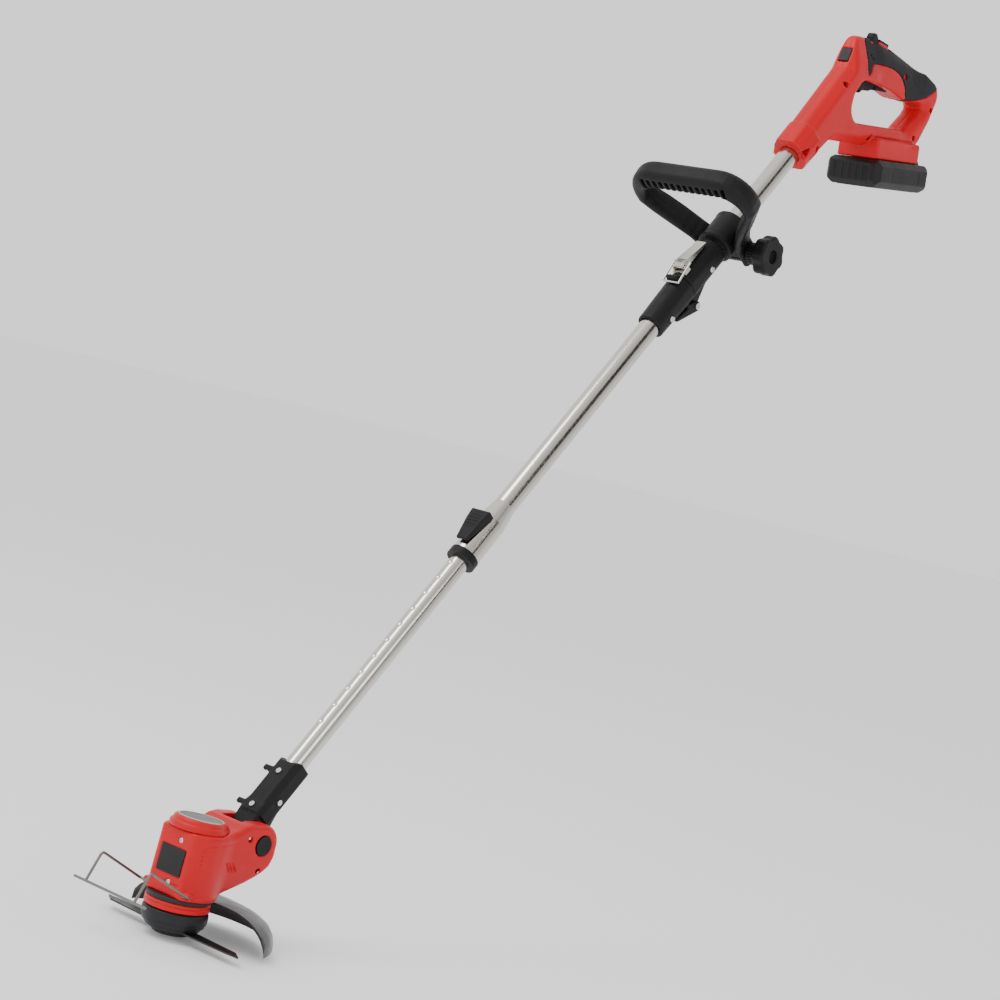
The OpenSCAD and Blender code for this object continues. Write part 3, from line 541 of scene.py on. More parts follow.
def make_handle_trim():
    f = Field((-84, -9, 108), (4, 9, 130), 0.8)
    strip = [(-3, 119.6), (-45, 119.6), (-78, 112.4), (-80, 117), (-45, 126), (-3, 126)]
    strip = polygon_distance(f.x, f.z, strip)
    moulding("grip_strip", in_handle, f, prism(strip, f.y, 6.6, 1.5), "rear_handle", "black_plastic")
    f = Field((-24, -8, 168), (24, 8, 192), 0.7)
    strip = polygon_distance(f.x, f.z, [(-20.5, 174), (-20.5, 177.5), (2.4, 182), (2.4, 176)])
    moulding("lock_off_strip", in_handle, f, prism(strip, f.y, 5.6, 0.8), "rear_handle", "black_plastic")
    nub = polygon_distance(f.x, f.z, smooth_outline(
        [(3.6, 170), (18.4, 170), (18.4, 181), (16, 187), (12, 188.6), (7, 187), (3.6, 181)], 1))
    ridges = 0.5 * np.cos(f.x * 2 * math.pi / 3.2) * (f.z > 182)
    body = prism(nub + 0.3 * ridges, f.y, 5, 1.2)
    moulding("lock_off_nub", in_handle, f, body, "lock_off", "black_plastic", ["lock_off_button"])
    f = Field((-5, -9, 110), (42, 9, 144), 0.9)
    lever = [(-2.4, 139), (-2.4, 124)] + arc(14, 134, 17, -140, -60, 6) + arc(32, 116, 3, -110, 10, 4)
    lever = polygon_distance(f.x, f.z, lever + [(38.4, 128), (38.4, 139)])
    body = prism(lever, f.y, 7, 1.8)
    body = cut(body, pin(f.x, f.y, f.z, 11, 0, 3, 138, 145))
    moulding("trigger_lever", in_handle, f, body, "trigger", "black_plastic", ["trigger"])


def make_battery():
    f = Field((-114, -42, -2), (17, 42, 54), 1.15)
    side = polygon_distance(f.x, f.z, [
        (13.5, 9), (6.5, 0), (-102, 0), (-110, 8), (-110, 25), (-107, 33), (-99.5, 45), (-98, 48),
        (-94.4, 45), (-94.4, 35.4), (5.5, 35.4), (13.5, 30)])
    across = polygon_distance(f.y, f.z, [
        (-31, 0), (31, 0), (40, 9), (40, 27), (33, 35.4), (24, 50), (-24, 50), (-33, 35.4), (-40, 27),
        (-40, 9)])
    corners = (np.abs(f.y) + np.abs(f.x + 48.25) - 94.75) * 0.7071
    form = both(both(side, across, 1.6), corners, 1.2)
    body = union(np.maximum(form, f.z - 35.3), both(side, np.abs(f.y) - 24, 1.5), 0.6)
    # Seam, thumb recess with ribs in the front face, shallow label bed on the two sides
    body = cut(body, np.maximum(np.abs(f.z - 20) - 0.35, -(body + 0.6)), 0.2)
    panel = np.maximum(np.abs(f.y) - 25, np.maximum(np.abs(f.z - 18) - 10, 12.1 - f.x))
    body = cut(body, panel, 0.6)
    for y in (-15, -5, 5, 15):
        rib = np.maximum(np.abs(f.z - 18) - 10, np.maximum(f.x - 13.3, 11 - f.x))
        rib = np.maximum(np.abs(f.y - y) - 0.8, rib)
        body = union(body, rib, 0.4)
    label = np.maximum(np.abs(f.x + 50) - 34, np.maximum(np.abs(f.z - 18) - 7, 39.6 - np.abs(f.y)))
    body = cut(body, label, 0.3)
    body = union(body, box(f, (-89, -16, 34), (-9, 16, 44)))
    body = union(body, box(f, (-89, -20, 39), (-9, 20, 44), 0.6))
    body = cut(body, box(f, (-105.4, -9.3, 35.4), (-97, 9.3, 60)), 0.3)
    for y in (-9, -3, 3, 9):
        body = cut(body, box(f, (-64, y - 0.9, 37.6), (0, y + 0.9, 46)))
    moulding("battery_pack", in_handle, f, body, "battery", "battery_plastic",
             ["battery_case", "battery_cover"])


# ---------- front handle, knob and clamp ----------

LOOP_H, LOOP_W, LOOP_DEPTH = 123.0, 157.0, 29.0
ARM_OUT, ARM_IN, BAR, ARM, FAR_EXTRA = 30.0, 22.4, 27.0, 13.0, 12.0
KNOB_IN, KNOB_OUT, KNOB_R, LOBES, LOBE_DEPTH = 46.0, 62.0, 24.0, 7, 1.3


def make_loop():
    half = LOOP_W / 2
    out = [(ARM_OUT, -11), (ARM_OUT, 15), (ARM_OUT + 7, 30), (52, 50), (half - 2, 84)]
    out += arc(half - 40, LOOP_H + BAR / 2 - 40, 40, 0, 90, 8)
    inner = [(ARM_IN, -11), (ARM_IN, 26), (40, 56), (half - ARM - 3, 86)]
    inner += arc(half - ARM - 26, LOOP_H - BAR / 2 - 22, 22, 10, 90, 6)
    # The right arm mirrors the left one, and spreads further out towards the bar
    far_out, far_inner = (
        [(-y - FAR_EXTRA * min(1, max(0, (v - 26) / 58)), v) for y, v in line] for line in (out, inner))
    outline = out + far_out[::-1] + far_inner + inner[::-1]
    f = Field((-15, -94, -18), (140, 82, 18), 1.2)
    flat = polygon_distance(f.y, f.x, outline)
    body = prism(flat, f.z, LOOP_DEPTH / 2, 5.6)
    rounder = prism(flat, f.z, LOOP_DEPTH / 2, 10.5)
    on_bar = np.clip((f.x - 70) / 30, 0, 1)
    body = body * (1 - on_bar) + rounder * on_bar
    # A row of slots along the bar
    for i in range(-7, 7):
        slot = prism(np.hypot(np.maximum(np.abs(f.x - 119.5) - 6.2, 0), f.y - 8.8 * i) - 2.6, f.z + 15, 9)
        body = cut(body, slot, 0.7)
    # Chequered dimples along the edges of the arms
    on_arms = (np.abs(f.y + 6) < 72) * (np.abs(f.x - 62) <= 34)
    chequer = np.cos(f.x * 2 * math.pi / 9) + np.cos(f.z * 2 * math.pi / 9.5)
    body = body + np.where(np.abs(flat) < 4, 0.55, 0) * on_arms * (chequer > 0.8)
    body = cut(body, pin(f.x, f.z, f.y, 0, 0, 3.15, -60, 60))
    moulding("loop_handle", in_loop, f, body, "front_handle", "black_plastic", ["front_handle"])


def make_knob():
    x0, z0 = BOLT[0], BOLT[2]
    f = Field((x0 - 28, 28, z0 - 28), (x0 + 28, 64, z0 + 28), 0.9)
    dx, dz = f.x - x0, f.z - z0
    radius, angle = np.hypot(dx, dz), np.arctan2(dz, dx)
    lobes = radius - (KNOB_R - LOBE_DEPTH + LOBE_DEPTH * np.cos(LOBES * angle))
    grip = prism(lobes, f.y - (KNOB_IN + KNOB_OUT) / 2, (KNOB_OUT - KNOB_IN) / 2, 3.0)
    ribbed = radius - 13 + 0.5 * np.cos(24 * angle)
    neck = prism(ribbed, f.y - 38.5, 8.2, 0.5)
    body = union(grip, neck, 1.5)
    # Dished face, and the rooms for the brass insert and the bolt
    body = cut(body, pin(f.x, f.z, f.y, x0, z0, 8, KNOB_OUT - 4.5, KNOB_OUT + 4), 0.8)
    body = cut(body, pin(f.x, f.z, f.y, x0, z0, 5.1, KNOB_IN, KNOB_OUT - 5.8))
    body = cut(body, pin(f.x, f.z, f.y, x0, z0, 3.15, 20, KNOB_IN + 2))
    moulding("clamp_knob", in_pole, f, body, "knob", "black_plastic", ["knob"])


CLAMP_R, CLAMP_BORE, EAR_R = 21.4, 12.62, 11


def make_clamp():
    x0, z0 = BOLT[0], BOLT[2]
    f = Field((-38, -26, 440), (26, 26, 494), 1.0)
    radius = np.hypot(f.x, f.y)
    body = prism(radius - CLAMP_R, f.z - 466, 21, 2.2)
    for band_z in (447.4, 484.4):
        body = union(body, prism(radius - 22, f.z - band_z, 2.3, 0.8), 0.8)
    # A round-ended ear about the bolt, split so that the knob can close it
    ear = np.maximum(np.hypot(f.x - x0, f.z - z0) - EAR_R, f.x - x0)
    ear = np.minimum(ear, np.maximum(np.abs(f.z - z0) - EAR_R, np.maximum(x0 - f.x, f.x)))
    body = union(body, prism(ear, f.y, 22.0, 1.0), 2.5)
    body = cut(body, np.maximum(np.abs(f.y) - 1, f.x), 0.4)
    body = cut(body, radius - CLAMP_BORE)
    body = cut(body, pin(f.x, f.z, f.y, x0, z0, 3.06, -40, 40))
    moulding("clamp_body", in_pole, f, body, "clamp", "black_plastic", ["clamp_collar"])


# ---------- fold sleeves, button and bracket ----------

SLEEVE_R, LOW_R, SLEEVE_FLAT, FOLD_AT = 18.0, 16.5, 16.4, 374.0
SLEEVE_TOP, SLEEVE_FOOT, CONE = 440, 305, 55
RIVET_X, UPPER_RIVET_Z, LOWER_RIVET_Z = -4, 414, 326.5
FOLD_BORE = 2.56


def tapered_bar(f, x0, z0, x1, z1, r0, r1):
    """Flat distance to a tapering bar between two circles."""
    ex, ez = x1 - x0, z1 - z0
    t = np.clip(((f.x - x0) * ex + (f.z - z0) * ez) / (ex * ex + ez * ez), 0, 1)
    return np.hypot(f.x - x0 - t * ex, f.z - z0 - t * ez) - (r0 + t * (r1 - r0))


def fold_ear(f, up):
    """Forked ear from the fold pin to a sleeve above it, or below it where up is -1."""
    far = tapered_bar(f, FOLD_PIN[0], FOLD_PIN[2], -15, FOLD_PIN[2] + up * 36, 6.4, 2.0)
    near = tapered_bar(f, FOLD_PIN[0], FOLD_PIN[2], -15, FOLD_PIN[2] + up * 12, 6.4, 2.0)
    return np.minimum(far, near)


def sleeve_form(f, radius, low, high):
    """A tube with flattened flanks and rounded ends."""
    round_form = np.hypot(f.x, f.y) - radius
    flat = both(round_form, np.abs(f.y) - SLEEVE_FLAT, 1.2)
    return prism(flat, f.z - (low + high) / 2, (high - low) / 2, 0.7)


def rivet_rooms(f, body, z):
    return cut(body, pin(f.x, f.z, np.abs(f.y), RIVET_X, z, 3.9, SLEEVE_FLAT - 0.2, 30), 0.2)


def sleeve_bores(f, body):
    """Cuts the tube's bore and the fold pin's bore."""
    body = cut(body, np.hypot(f.x, f.y) - TUBE_BORE)
    return cut(body, pin(f.x, f.z, f.y, FOLD_PIN[0], FOLD_PIN[2], FOLD_BORE, -30, 30))


def make_upper_sleeve():
    f = Field((-34, -20, 360), (21, 20, 444), 1.0)
    body = sleeve_form(f, SLEEVE_R, FOLD_AT + 0.2, SLEEVE_TOP)
    body = union(body, sleeve_form(f, SLEEVE_R + 0.5, SLEEVE_TOP - 7, SLEEVE_TOP), 0.8)
    body = both(body, np.hypot(f.x, f.y) - SLEEVE_R)
    body = union(body, prism(fold_ear(f, 1), f.y, 8, 0.6), 0.8)
    body = sleeve_bores(f, body)
    # Room for the lower sleeve's ears
    room = np.maximum(f.x + 15.9, np.abs(f.z - 368.5) - 12.4)
    body = cut(body, np.maximum(np.abs(np.abs(f.y) - 14.5) - 6.4, room))
    body = rivet_rooms(f, body, UPPER_RIVET_Z)
    moulding("fold_sleeve_upper", in_pole, f, body, "rear_handle", "black_plastic", ["upper_sleeve"])


def make_lower_sleeve():
    f = Field((-34, -20, 301), (21, 20, 384), 1.0)
    radius = LOW_R + (SLEEVE_R - LOW_R) * np.clip((f.z - SLEEVE_FOOT) / CONE, 0, 1)
    body = sleeve_form(f, radius, SLEEVE_FOOT, FOLD_AT - 0.1)
    ears = prism(fold_ear(f, -1), np.abs(f.y) - 11.2, 2.8, 0.6)
    body = sleeve_bores(f, union(body, ears, 0.8))
    # Room for the upper sleeve's ear
    body = cut(body, box(f, (-40, -8.4, 363.8), (-16.8, 8.4, 392)))
    body = rivet_rooms(f, body, LOWER_RIVET_Z)
    moulding("fold_sleeve_lower", in_pole, f, body, "middle_pole", "black_plastic", ["lower_sleeve"])


def make_button():
    f = Field((6, -16, -64), (28, 16, -16), 0.7)
    side = polygon_distance(f.x, f.z, [(8, -61), (22, -61), (25.2, -33), (24.6, -20), (8, -20)])
    front = polygon_distance(f.y, f.z, [(-7.5, -61), (7.5, -61), (13.5, -20), (-13.5, -20)])
    body = both(side, front, 1.6)
    on_face = (f.z > -44) * (f.z < -24) * (np.abs(f.y) < 8) * (f.x > 20)
    body = body + 0.35 * np.cos(f.z * 2 * math.pi / 4.2) * on_face
    stem = box(f, (14.2, -4.8, -51.6), (22, 4.8, -29.4))
    body = union(cut(body, np.hypot(f.x, f.y) - 19.4), stem)
    moulding("height_wedge", in_pole, f, body, "height_button", "black_plastic", ["height_button"])


HEAD_DROP, PIVOT_DROP = 462.0, 6.0
BRACKET_TOP, BRACKET_W, BRACKET_H, FORK_W, EYE_R = -370.0, 15.5, 13.0, 13.4, 15.0
SIDE_SCREW, TOP_SCREWS = -415.0, (-388.5, -433.0)
AXLE_BORE = 5.06


def make_bracket():
    f = Field((-24, -24, -480), (16, 18, -367), 1.0)
    shank = box(f, (-BRACKET_H, -BRACKET_W, -HEAD_DROP + 22), (BRACKET_H, BRACKET_W, BRACKET_TOP), 0.8)
    across = (np.abs(f.y) + np.abs(f.x) - 23.2) * 0.7071
    shank = both(shank, across, 0.8)
    shank = both(shank, (f.x + f.z - BRACKET_TOP - 7.5) * 0.7071, 0.6)
    eye = tapered_bar(f, -PIVOT_DROP, -HEAD_DROP, 0, -HEAD_DROP + 30, EYE_R, 12.6)
    body = union(shank, prism(eye, f.y, FORK_W, 1.2), 2.0)
    # Parting line, then the bores for the lower tube and the axle
    body = cut(body, np.maximum(np.abs(f.y) - 0.25, -(body + 0.5)), 0.2)
    body = cut(body, pin(f.x, f.y, f.z, 0, 0, 11.06, -434, -360))
    body = cut(body, pin(f.x, f.z, f.y, -PIVOT_DROP, -HEAD_DROP, AXLE_BORE, -30, 30))
    for z in TOP_SCREWS:
        body = union(body, pin(f.y, f.z, f.x, 0, z, 4.6, 5, BRACKET_H + 0.5, 0.5), 0.5)
        body = cut(body, pin(f.y, f.z, f.x, 0, z, 3.2, BRACKET_H - 0.3, 30), 0.2)
        clip = box(f, (7, -BRACKET_W - 7, z - 3), (BRACKET_H, -10, z + 3), 1.4)
        clip = cut(clip, pin(f.x, f.y, f.z, 8.6, -BRACKET_W - 3.2, 1.7, z - 9, z + 9), 0.4)
        body = union(body, clip, 0.6)
    body = union(body, pin(f.x, f.z, f.y, 0, SIDE_SCREW, 4.6, 5, BRACKET_W + 0.3, 0.4), 0.5)
    body = cut(body, pin(f.x, f.z, f.y, 0, SIDE_SCREW, 3.2, BRACKET_W - 0.3, 30), 0.2)
    moulding("fork_bracket", in_pole, f, body, "lower_pole", "black_plastic",
             ["bracket_left", "bracket_right"])


# ---------- motor head ----------

PIVOT = (-68.9, 90.9)
CHEEK_W, CHEEK_R = 31.0, 21.0
FLAT_X, BARREL_X, BARREL_R, RIM_R = 22.0, -3.5, 34.4, 35.0
BARREL_LOW, BARREL_TOP = 33.0, 98.5
# The barrel leans back by this much for each millimetre of height, about the height where it is true
LEAN, TRUE_Z = 0.05, 72.0
in_barrel = Axes(in_head.at(BARREL_X + LEAN * TRUE_Z, 0, 0), (1, 0, LEAN), (-LEAN, 0, 1))
in_front = Axes(in_head.at(FLAT_X + LEAN * TRUE_Z, 0, 0), (1, 0, LEAN), (-LEAN, 0, 1))
FLAT = FLAT_X - BARREL_X
FRONT_SCREWS = ((5.5, 88), (3.0, 45.5))
VENT_ANGLE = math.radians(64)


def head_form(f, from_axis, radius):
    """The barrel with its flat front, and the arm that carries the two cheeks."""
    middle, half = (BARREL_LOW + BARREL_TOP) / 2, (BARREL_TOP - BARREL_LOW) / 2
    barrel = prism(radius - BARREL_R, f.z - middle, half, 3.0)
    rim = prism(radius - RIM_R, f.z - 36, 3, 1.0)
    barrel = union(barrel, rim, 1.5)
    barrel = both(barrel, from_axis - FLAT, 2.5)
    cheek = polygon_distance(f.x, f.z, smooth_outline(
        [(-8, 97), (-31, 103), (-46, 112)] + arc(PIVOT[0], PIVOT[1], CHEEK_R, 95, 190, 8)
        + [(-90, 80), (-84, 66), (-66, 54), (-46, 45), (-22, 36), (-8, 36)], 1))
    wide = CHEEK_W - 5.0 * np.clip((70 - f.z) / 30, 0, 1)
    w = np.abs(f.y) - wide + 5
    d = cheek + 5
    arm = np.minimum(np.maximum(d, w), 0) + np.sqrt(np.maximum(d, 0) ** 2 + np.maximum(w, 0) ** 2) - 5
    body = union(barrel, arm, 6.0)
    boss = pin(f.x, f.z, np.abs(f.y), 17, 37.7, 4.2, 10, 33.3, 0.8)
    return union(body, boss, 1.2)


def head_marks(f, body, from_axis, angle):
    """Lines, vents, screw wells and the front plate's bed."""
    # Line over the front step, parting line, shoulder line under the cap
    step = np.maximum(np.abs(f.z - 44) - 1.6, np.maximum(-f.x + 12, np.abs(f.y) - 19))
    body = cut(body, np.maximum(step, -(body + 1.4)), 0.6)
    body = cut(body, np.maximum(np.abs(f.y) - 0.3, -(body + 0.6)), 0.2)
    groove = np.abs(f.z - 90.5 + 0.08 * f.x) - 0.5
    body = cut(body, np.maximum(np.maximum(groove, -32 - f.x), -(body + 0.7)), 0.3)
    # Vent dots on the barrel's sides, slanted vents and screw wells on the cheeks
    for z in (66, 70.5, 75, 79.5, 84):
        dot = np.hypot((angle - VENT_ANGLE) * BARREL_R, f.z - z) - 0.9
        other = np.hypot((angle + VENT_ANGLE) * BARREL_R, f.z - z) - 0.9
        body = cut(body, np.maximum(np.minimum(dot, other), -(body + 1.6)), 0.4)
    for i in (-1, 0, 1):
        run = tapered_bar(f, -33.5 + 4.4 * i, 64.5, -26.5 + 4.4 * i, 72.5, 0.9, 0.9)
        body = cut(body, np.maximum(run, -(body + 1.6)), 0.4)
    for x, z in ((-49, 97), (-70, 65)):
        body = cut(body, pin(f.x, f.z, np.abs(f.y), x, z, 2.9, 17, 40), 0.6)
    for y, z in FRONT_SCREWS:
        body = cut(body, pin(f.y, f.z, from_axis, y, z, 3.3, FLAT - 1.6, 60), 0.6)
    bed = np.maximum(np.abs(f.y) - 17.6, np.maximum(np.abs(f.z - 66.5) - 14.1, FLAT - 0.6 - from_axis))
    return cut(body, bed, 0.3)


def head_rooms(f, body, from_axis, radius):
    """Rooms for the motor and its shaft, the bracket, the cap, the axle and the tilt button."""
    bay = np.maximum(pin(f.x, f.y, f.z, 0, 0, 27.3, 37, 96.5), from_axis - FLAT + 2.6)
    body = cut(body, bay)
    body = cut(body, pin(f.x, f.y, f.z, 0, 0, 10, 20, 60))
    swept_by_eye = arc(PIVOT[0], PIVOT[1], EYE_R + 1.5, -40, -112, 6)
    slot = [(-47.5, 130), (-47.5, 80)] + swept_by_eye + [(-118, 88), (-118, 130)]
    body = cut(body, prism(polygon_distance(f.x, f.z, slot), f.y, FORK_W + 0.35), 0.4)
    body = cut(body, np.maximum(radius - 30.05, BARREL_TOP - f.z))
    body = cut(body, pin(f.x, f.z, f.y, PIVOT[0], PIVOT[1], AXLE_BORE, -30, 30))
    return cut(body, pin(f.x, f.z, np.abs(f.y), PIVOT[0], PIVOT[1], 10.35, CHEEK_W - 7.6, 60), 0.4)


def make_head():
    f = Field((-94, -38, 31), (36, 38, 116), 1.1)
    from_axis = f.x + LEAN * (f.z - TRUE_Z) - BARREL_X
    radius, angle = np.hypot(from_axis, f.y), np.arctan2(f.y, from_axis)
    body = head_form(f, from_axis, radius)
    body = head_marks(f, body, from_axis, angle)
    body = head_rooms(f, body, from_axis, radius)
    moulding("motor_housing", in_head, f, body, "head", "red_plastic",
             ["motor_housing_left", "motor_housing_right"])


def make_cap():
    dome = [(0, 98), (29.6, 98), (30, 99), (29.9, 102.4), (29.3, 103.8), (28.2, 104.6), (27.6, 105),
            (27.3, 106.2), (26.6, 108), (25.2, 109.2), (24, 109.6), (23.6, 109.2), (0, 109.2)]
    turned("cap_dome", in_barrel, dome, "head", "red_plastic", ["motor_cap"])
    rim = [(23.4, 109), (23.4, 110.1), (22.8, 110.4), (22, 110.1), (22, 109)]
    turned("cap_label_rim", in_barrel, rim, "head", "bright_steel", ["head_plates"])
    label = [(0, 109), (22, 109), (22, 109.8), (12, 110.1), (0, 110.2)]
    turned("cap_label", in_barrel, label, "head", "plate")
    f = Field((-2, -19, 50), (3, 19, 83), 0.6)
    plate = box(f, (-0.8, -17, 53.5), (0.7, 17, 80.5), 0.5)
    moulding("front_plate", in_front, f, plate, "head", "plate", material=DARK_PLATE)
    screw = [(0, -1), (2.7, -1), (2.7, 0.9), (2.1, 1.5), (1.0, 1.7), (0.7, 1.0), (0, 0.8)]
    for i, (y, z) in enumerate(FRONT_SCREWS):
        seat = Axes(in_front.at(-1.9, y, z), -in_front.z, in_front.x)
        turned(f"front_screw_{i}", seat, screw, "head", "bright_steel", steps=32)


CUP_HUB, CUP_FLARE = 20, 0.87


def make_lower_head():
    ring = [(10, 20), (32, 20), (33, 20.8), (33, 24.2), (32.4, 25), (33, 25.6), (32.8, 27.8), (32, 28.4),
            (10, 28.4)]
    turned("neck_ring", in_head, ring, "head", "red_plastic", ["skirt_ring"])
    groove = [(10, 28.5), (31.6, 28.5), (32.4, 29.2), (32.4, 32.2), (31.6, 32.9), (10, 32.9)]
    turned("neck_groove", in_head, groove, "head", "smoke_plastic", material=GROOVE)
    # The cup's steps flare out past its hub by a share of the radii listed here
    steps = [(3.06, -2), (10, -2), (10, -5.8), (10.6, -6), (18.4, -6), (19, -5.6), (20, -2.2), (24.6, -1.8),
             (25.2, -0.8), (28.6, 0), (29.4, 0.8), (29.8, 3.4), (32.6, 4), (33.2, 4.8), (33.4, 7.6),
             (34.8, 8.2), (35.2, 9.4), (35.5, 13), (35.2, 17), (34.2, 18.4), (32, 19.3), (3.06, 19.3)]
    cup = [(r if r < CUP_HUB else CUP_HUB + CUP_FLARE * (r - CUP_HUB), z) for r, z in steps]
    turned("cutter_cup", in_head, cup, "cutter", "cup_plastic", ["cutting_cup"])


# How far the shield's tips reach out past its rim and hang below it
TIP_OUT, TIP_DROP = 2, 2.5


def make_shield():
    """Crescent guard behind the blade: its inner edge runs out to the rim at both tips."""
    sectors, start, sweep, rim = 96, 109.0, 142.0, 101.0
    radii = [28, 40, 52, 61, 74, 86, 94, 98.6, 100.6, rim]
    top = [31.2, 30.8, 30.2, 29.4, 26.6, 22.4, 17.6, 11.6, 5, 0]
    low = [28.8, 28.4, 27.8, 26.9, 23.8, 19.4, 14, 8, 2.6, -0.6]
    ring = [(r, z) for r, z in zip(radii, top)] + [(r - 0.6, z) for r, z in zip(radii[::-1], low[::-1])]
    n = len(ring)
    points, faces = [], []
    for i in range(sectors + 1):
        share = i / sectors
        a = math.radians(start + sweep * share)
        # How much of the full width is left here, from a sliver at the tips to 1 in the middle
        full = 0.03 + 0.97 * min(1, 1.3 * math.sin(math.pi * share) ** 0.8)
        for k, (r, z) in enumerate(ring):
            reach = rim - (rim - r) * full
            form = top if k < len(top) else low
            height = float(np.interp(reach, radii, form)) if full < 1 else z
            out = reach + TIP_OUT * (1 - full)
            points.append((out * math.cos(a), out * math.sin(a), height - TIP_DROP * (1 - full)))
    for i in range(sectors):
        for k in range(n):
            m = (k + 1) % n
            faces.append((i * n + k, (i + 1) * n + k, (i + 1) * n + m, i * n + m))
    faces += [tuple(range(n))[::-1], tuple(range(sectors * n, sectors * n + n))]
    made = piece("shield_crescent", in_head, points, faces, "head", "smoke_plastic", ["shield"])
    weld_by_angle(made, 50)


GUARD_PIVOT, GUARD_LIFT = (21, 0, 37.5), math.radians(24)
GUARD_ARM, GUARD_HALF, GUARD_LEG, GUARD_FOOT, WIRE_R = 64.0, 35.5, 31.8, 52.0, 1.4


def bent(path, radius):
    """A path with each inner corner replaced by a short curve."""
    made = [Vector(path[0])]
    for before, corner, after in zip(path, path[1:], path[2:]):
        before, corner, after = Vector(before), Vector(corner), Vector(after)
        start = corner + radius * (before - corner).normalized()
        end = corner + radius * (after - corner).normalized()
        for i in range(9):
            t = i / 8
            made.append(start * (1 - t) ** 2 + corner * 2 * t * (1 - t) + end * t ** 2)
    return made + [Vector(path[-1])]


def make_guard():
    """The wire guide: two bent arms and the bar across their feet."""
    lift_x = Vector((math.cos(GUARD_LIFT), 0, math.sin(GUARD_LIFT)))
    axes = Axes(in_head.at(*GUARD_PIVOT), lift_x, lift_x.cross(Vector((0, 1, 0))))
    wires = [bent([(0, side * 26, 0), (0, side * GUARD_HALF, 0), (GUARD_ARM, side * GUARD_HALF, 0),
                   (GUARD_ARM, side * GUARD_HALF, -GUARD_LEG)], 4) for side in (-1, 1)]
    feet = [Vector((GUARD_ARM, side * GUARD_FOOT, -GUARD_LEG)) for side in (-1, 1)]
    wires.append(feet)
    points, faces, sides = [], [], 12
    for wire in wires:
        first = len(points)
        across = (wire[1] - wire[0]).orthogonal().normalized()
        for i, place in enumerate(wire):
            run = (wire[min(i + 1, len(wire) - 1)] - wire[max(i - 1, 0)]).normalized()
            across = (across - run * across.dot(run)).normalized()
            other = run.cross(across)
            for k in range(sides):
                a = 2 * math.pi * k / sides
                points.append(tuple(place + WIRE_R * (math.cos(a) * across + math.sin(a) * other)))
        for i in range(len(wire) - 1):
            for k in range(sides):
                here, m = first + i * sides, (k + 1) % sides
                faces.append((here + k, here + m, here + sides + m, here + sides + k))
        last = first + (len(wire) - 1) * sides
        faces += [tuple(range(first, first + sides))[::-1], tuple(range(last, last + sides))]
    body, slot = BODY_OF["guard_wire"], SLOT_OF["guard_wire"]
    made = piece("guide_wire", axes, points, faces, body, slot, ["guard_wire"])
    weld_by_angle(made, 60)


# ---------- CAD nodes that stay ----------

def dress_cad_nodes():
    for name, node in frame["nodes"].items():
        if node.hide_render:
            continue
        node.data.materials.clear()
        node.data.materials.append(LOOKS[SLOT_OF[name]])
        for p in node.data.polygons:
            p.use_smooth = True
        edge = node.modifiers.new("edge", "BEVEL")
        edge.width = 0.0003
        edge.segments = 2
        edge.limit_method = "ANGLE"
        edge.angle_limit = math.radians(40)
        edge.harden_normals = True
        edge.use_clamp_overlap = True
    frame["nodes"]["handle_window"].data.materials[0] = DARK_PLATE
    frame["nodes"]["handle_screws"].data.materials[0] = DARK_SCREW


# ---------- camera, light and floor ----------

CAMERA_PLACE = (2.57786, 1.63624, -0.55207)
CAMERA_RIGHT, CAMERA_UP = (-0.618, 0.75, 0.2355), (0.127, -0.2, 0.971)
# Lens length as a multiple of the sensor's width
ZOOM, SENSOR = 2.392, 36


def look_through_camera():
    right, up = Vector(CAMERA_RIGHT), Vector(CAMERA_UP)
    back = right.cross(up).normalized()
    right = up.cross(back).normalized()
    up = back.cross(right)
    data = bpy.data.cameras.new("camera")
    data.sensor_width = SENSOR
    data.lens = SENSOR * ZOOM
    data.clip_end = 100
    camera = bpy.data.objects.new("camera", data)
    turn = Matrix((right, up, back)).transposed()
    camera.matrix_world = Matrix.Translation(Vector(CAMERA_PLACE)) @ turn.to_4x4()
    bpy.context.scene.collection.objects.link(camera)
    bpy.context.scene.camera = camera


LIGHT_AIM = (0.4, 0, -0.5)


def area_light(name, place, size, power):
    data = bpy.data.lights.new(name, "AREA")
    data.shape, data.size, data.energy = "DISK", size, power
    made = bpy.data.objects.new(name, data)
    made.location = place
    made.rotation_mode = "QUATERNION"
    made.rotation_quaternion = (Vector(LIGHT_AIM) - Vector(place)).to_track_quat("-Z", "Y")
    bpy.context.scene.collection.objects.link(made)


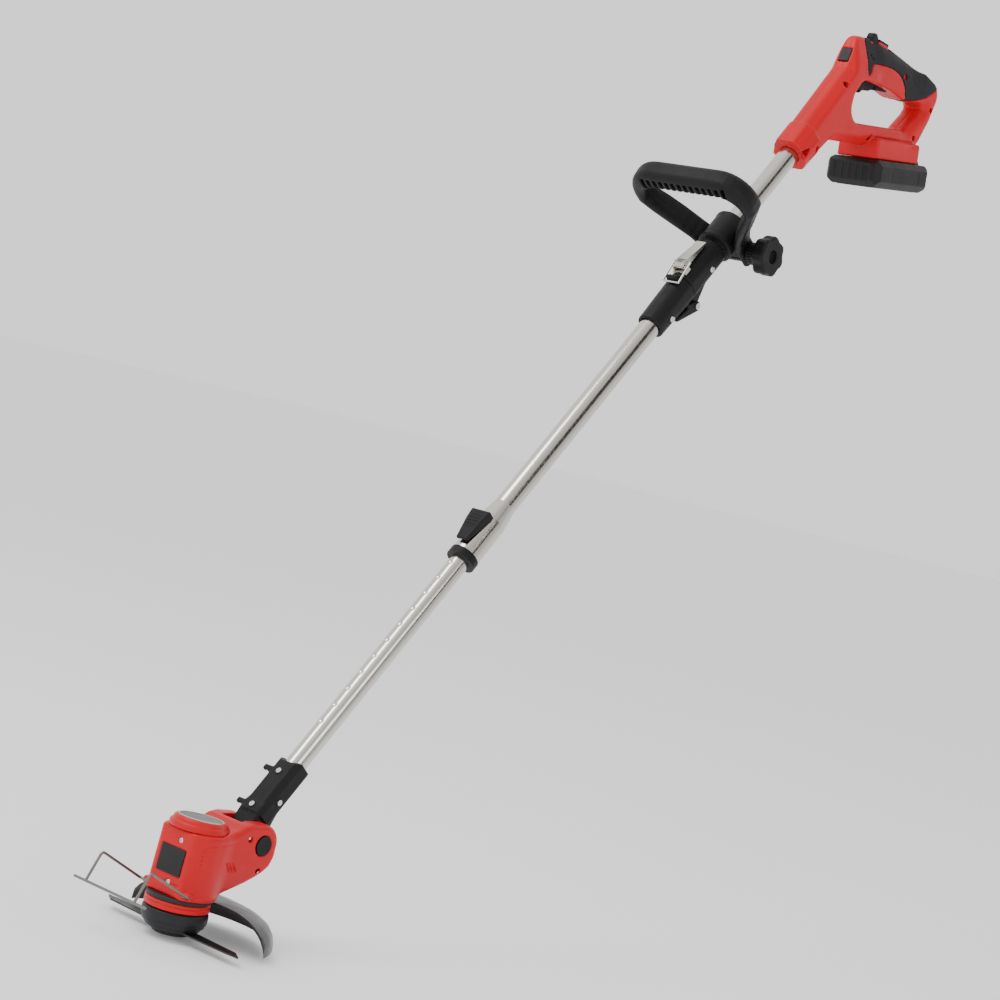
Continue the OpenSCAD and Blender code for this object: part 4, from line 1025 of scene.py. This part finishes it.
def light_scene():
    world = bpy.data.worlds.new("studio")
    world.use_nodes = True
    bpy.context.scene.world = world
    tree = world.node_tree
    back = tree.nodes["Background"]
    place = tree.nodes.new("ShaderNodeTexCoord").outputs["Generated"]
    # The world is dark up to the user's left, which gives the polished tubes their black line
    dark = Vector((-0.074, 0.848, 0.524)).normalized()
    dot = tree.nodes.new("ShaderNodeVectorMath")
    dot.operation = "DOT_PRODUCT"
    tree.links.new(place, dot.inputs[0])
    dot.inputs[1].default_value = dark
    ramp = tree.nodes.new("ShaderNodeValToRGB")
    tree.links.new(dot.outputs["Value"], ramp.inputs["Fac"])
    stops = [(0.0, 0.93), (0.55, 0.9), (0.8, 0.62), (0.955, 0.55), (0.972, 0.03), (1.0, 0.02)]
    while len(ramp.color_ramp.elements) < len(stops):
        ramp.color_ramp.elements.new(0.5)
    for element, (at, value) in zip(ramp.color_ramp.elements, stops):
        element.position, element.color = at, (value, value, value, 1)
    tree.links.new(ramp.outputs[0], back.inputs["Color"])
    back.inputs["Strength"].default_value = 1.35
    area_light("key", (2.2, -0.9, 1.9), 1.6, 42)
    area_light("fill", (1.2, 2.6, 0.5), 1.4, 14)


FLOOR_HALF, FLOOR_GAP, FLOOR_GLOW = 40, 0.002, 0.13


def make_floor():
    m = Nodes("pale_floor", (0.86, 0.86, 0.86), 0.7)
    material = m.finish(m.blend(m.noise(2), (0.93, 0.93, 0.93), (0.95, 0.95, 0.95)))
    # A little light of its own hides the far edge against the world
    m.shader.inputs["Emission Color"].default_value = (1, 1, 1, 1)
    m.shader.inputs["Emission Strength"].default_value = FLOOR_GLOW
    mesh = bpy.data.meshes.new("floor")
    z = cad_low.z - FLOOR_GAP
    corners = [(-FLOOR_HALF, -FLOOR_HALF, z), (FLOOR_HALF, -FLOOR_HALF, z), (FLOOR_HALF, FLOOR_HALF, z),
               (-FLOOR_HALF, FLOOR_HALF, z)]
    mesh.from_pydata(corners, [], [(0, 1, 2, 3)])
    mesh.materials.append(material)
    floor = bpy.data.objects.new("floor", mesh)
    bpy.context.scene.collection.objects.link(floor)


look_through_camera()
light_scene()
make_floor()
make_handle()
make_handle_trim()
make_battery()
make_loop()
make_knob()
make_clamp()
make_upper_sleeve()
make_lower_sleeve()
make_button()
make_bracket()
make_head()
make_cap()
make_lower_head()
make_shield()
make_guard()
dress_cad_nodes()
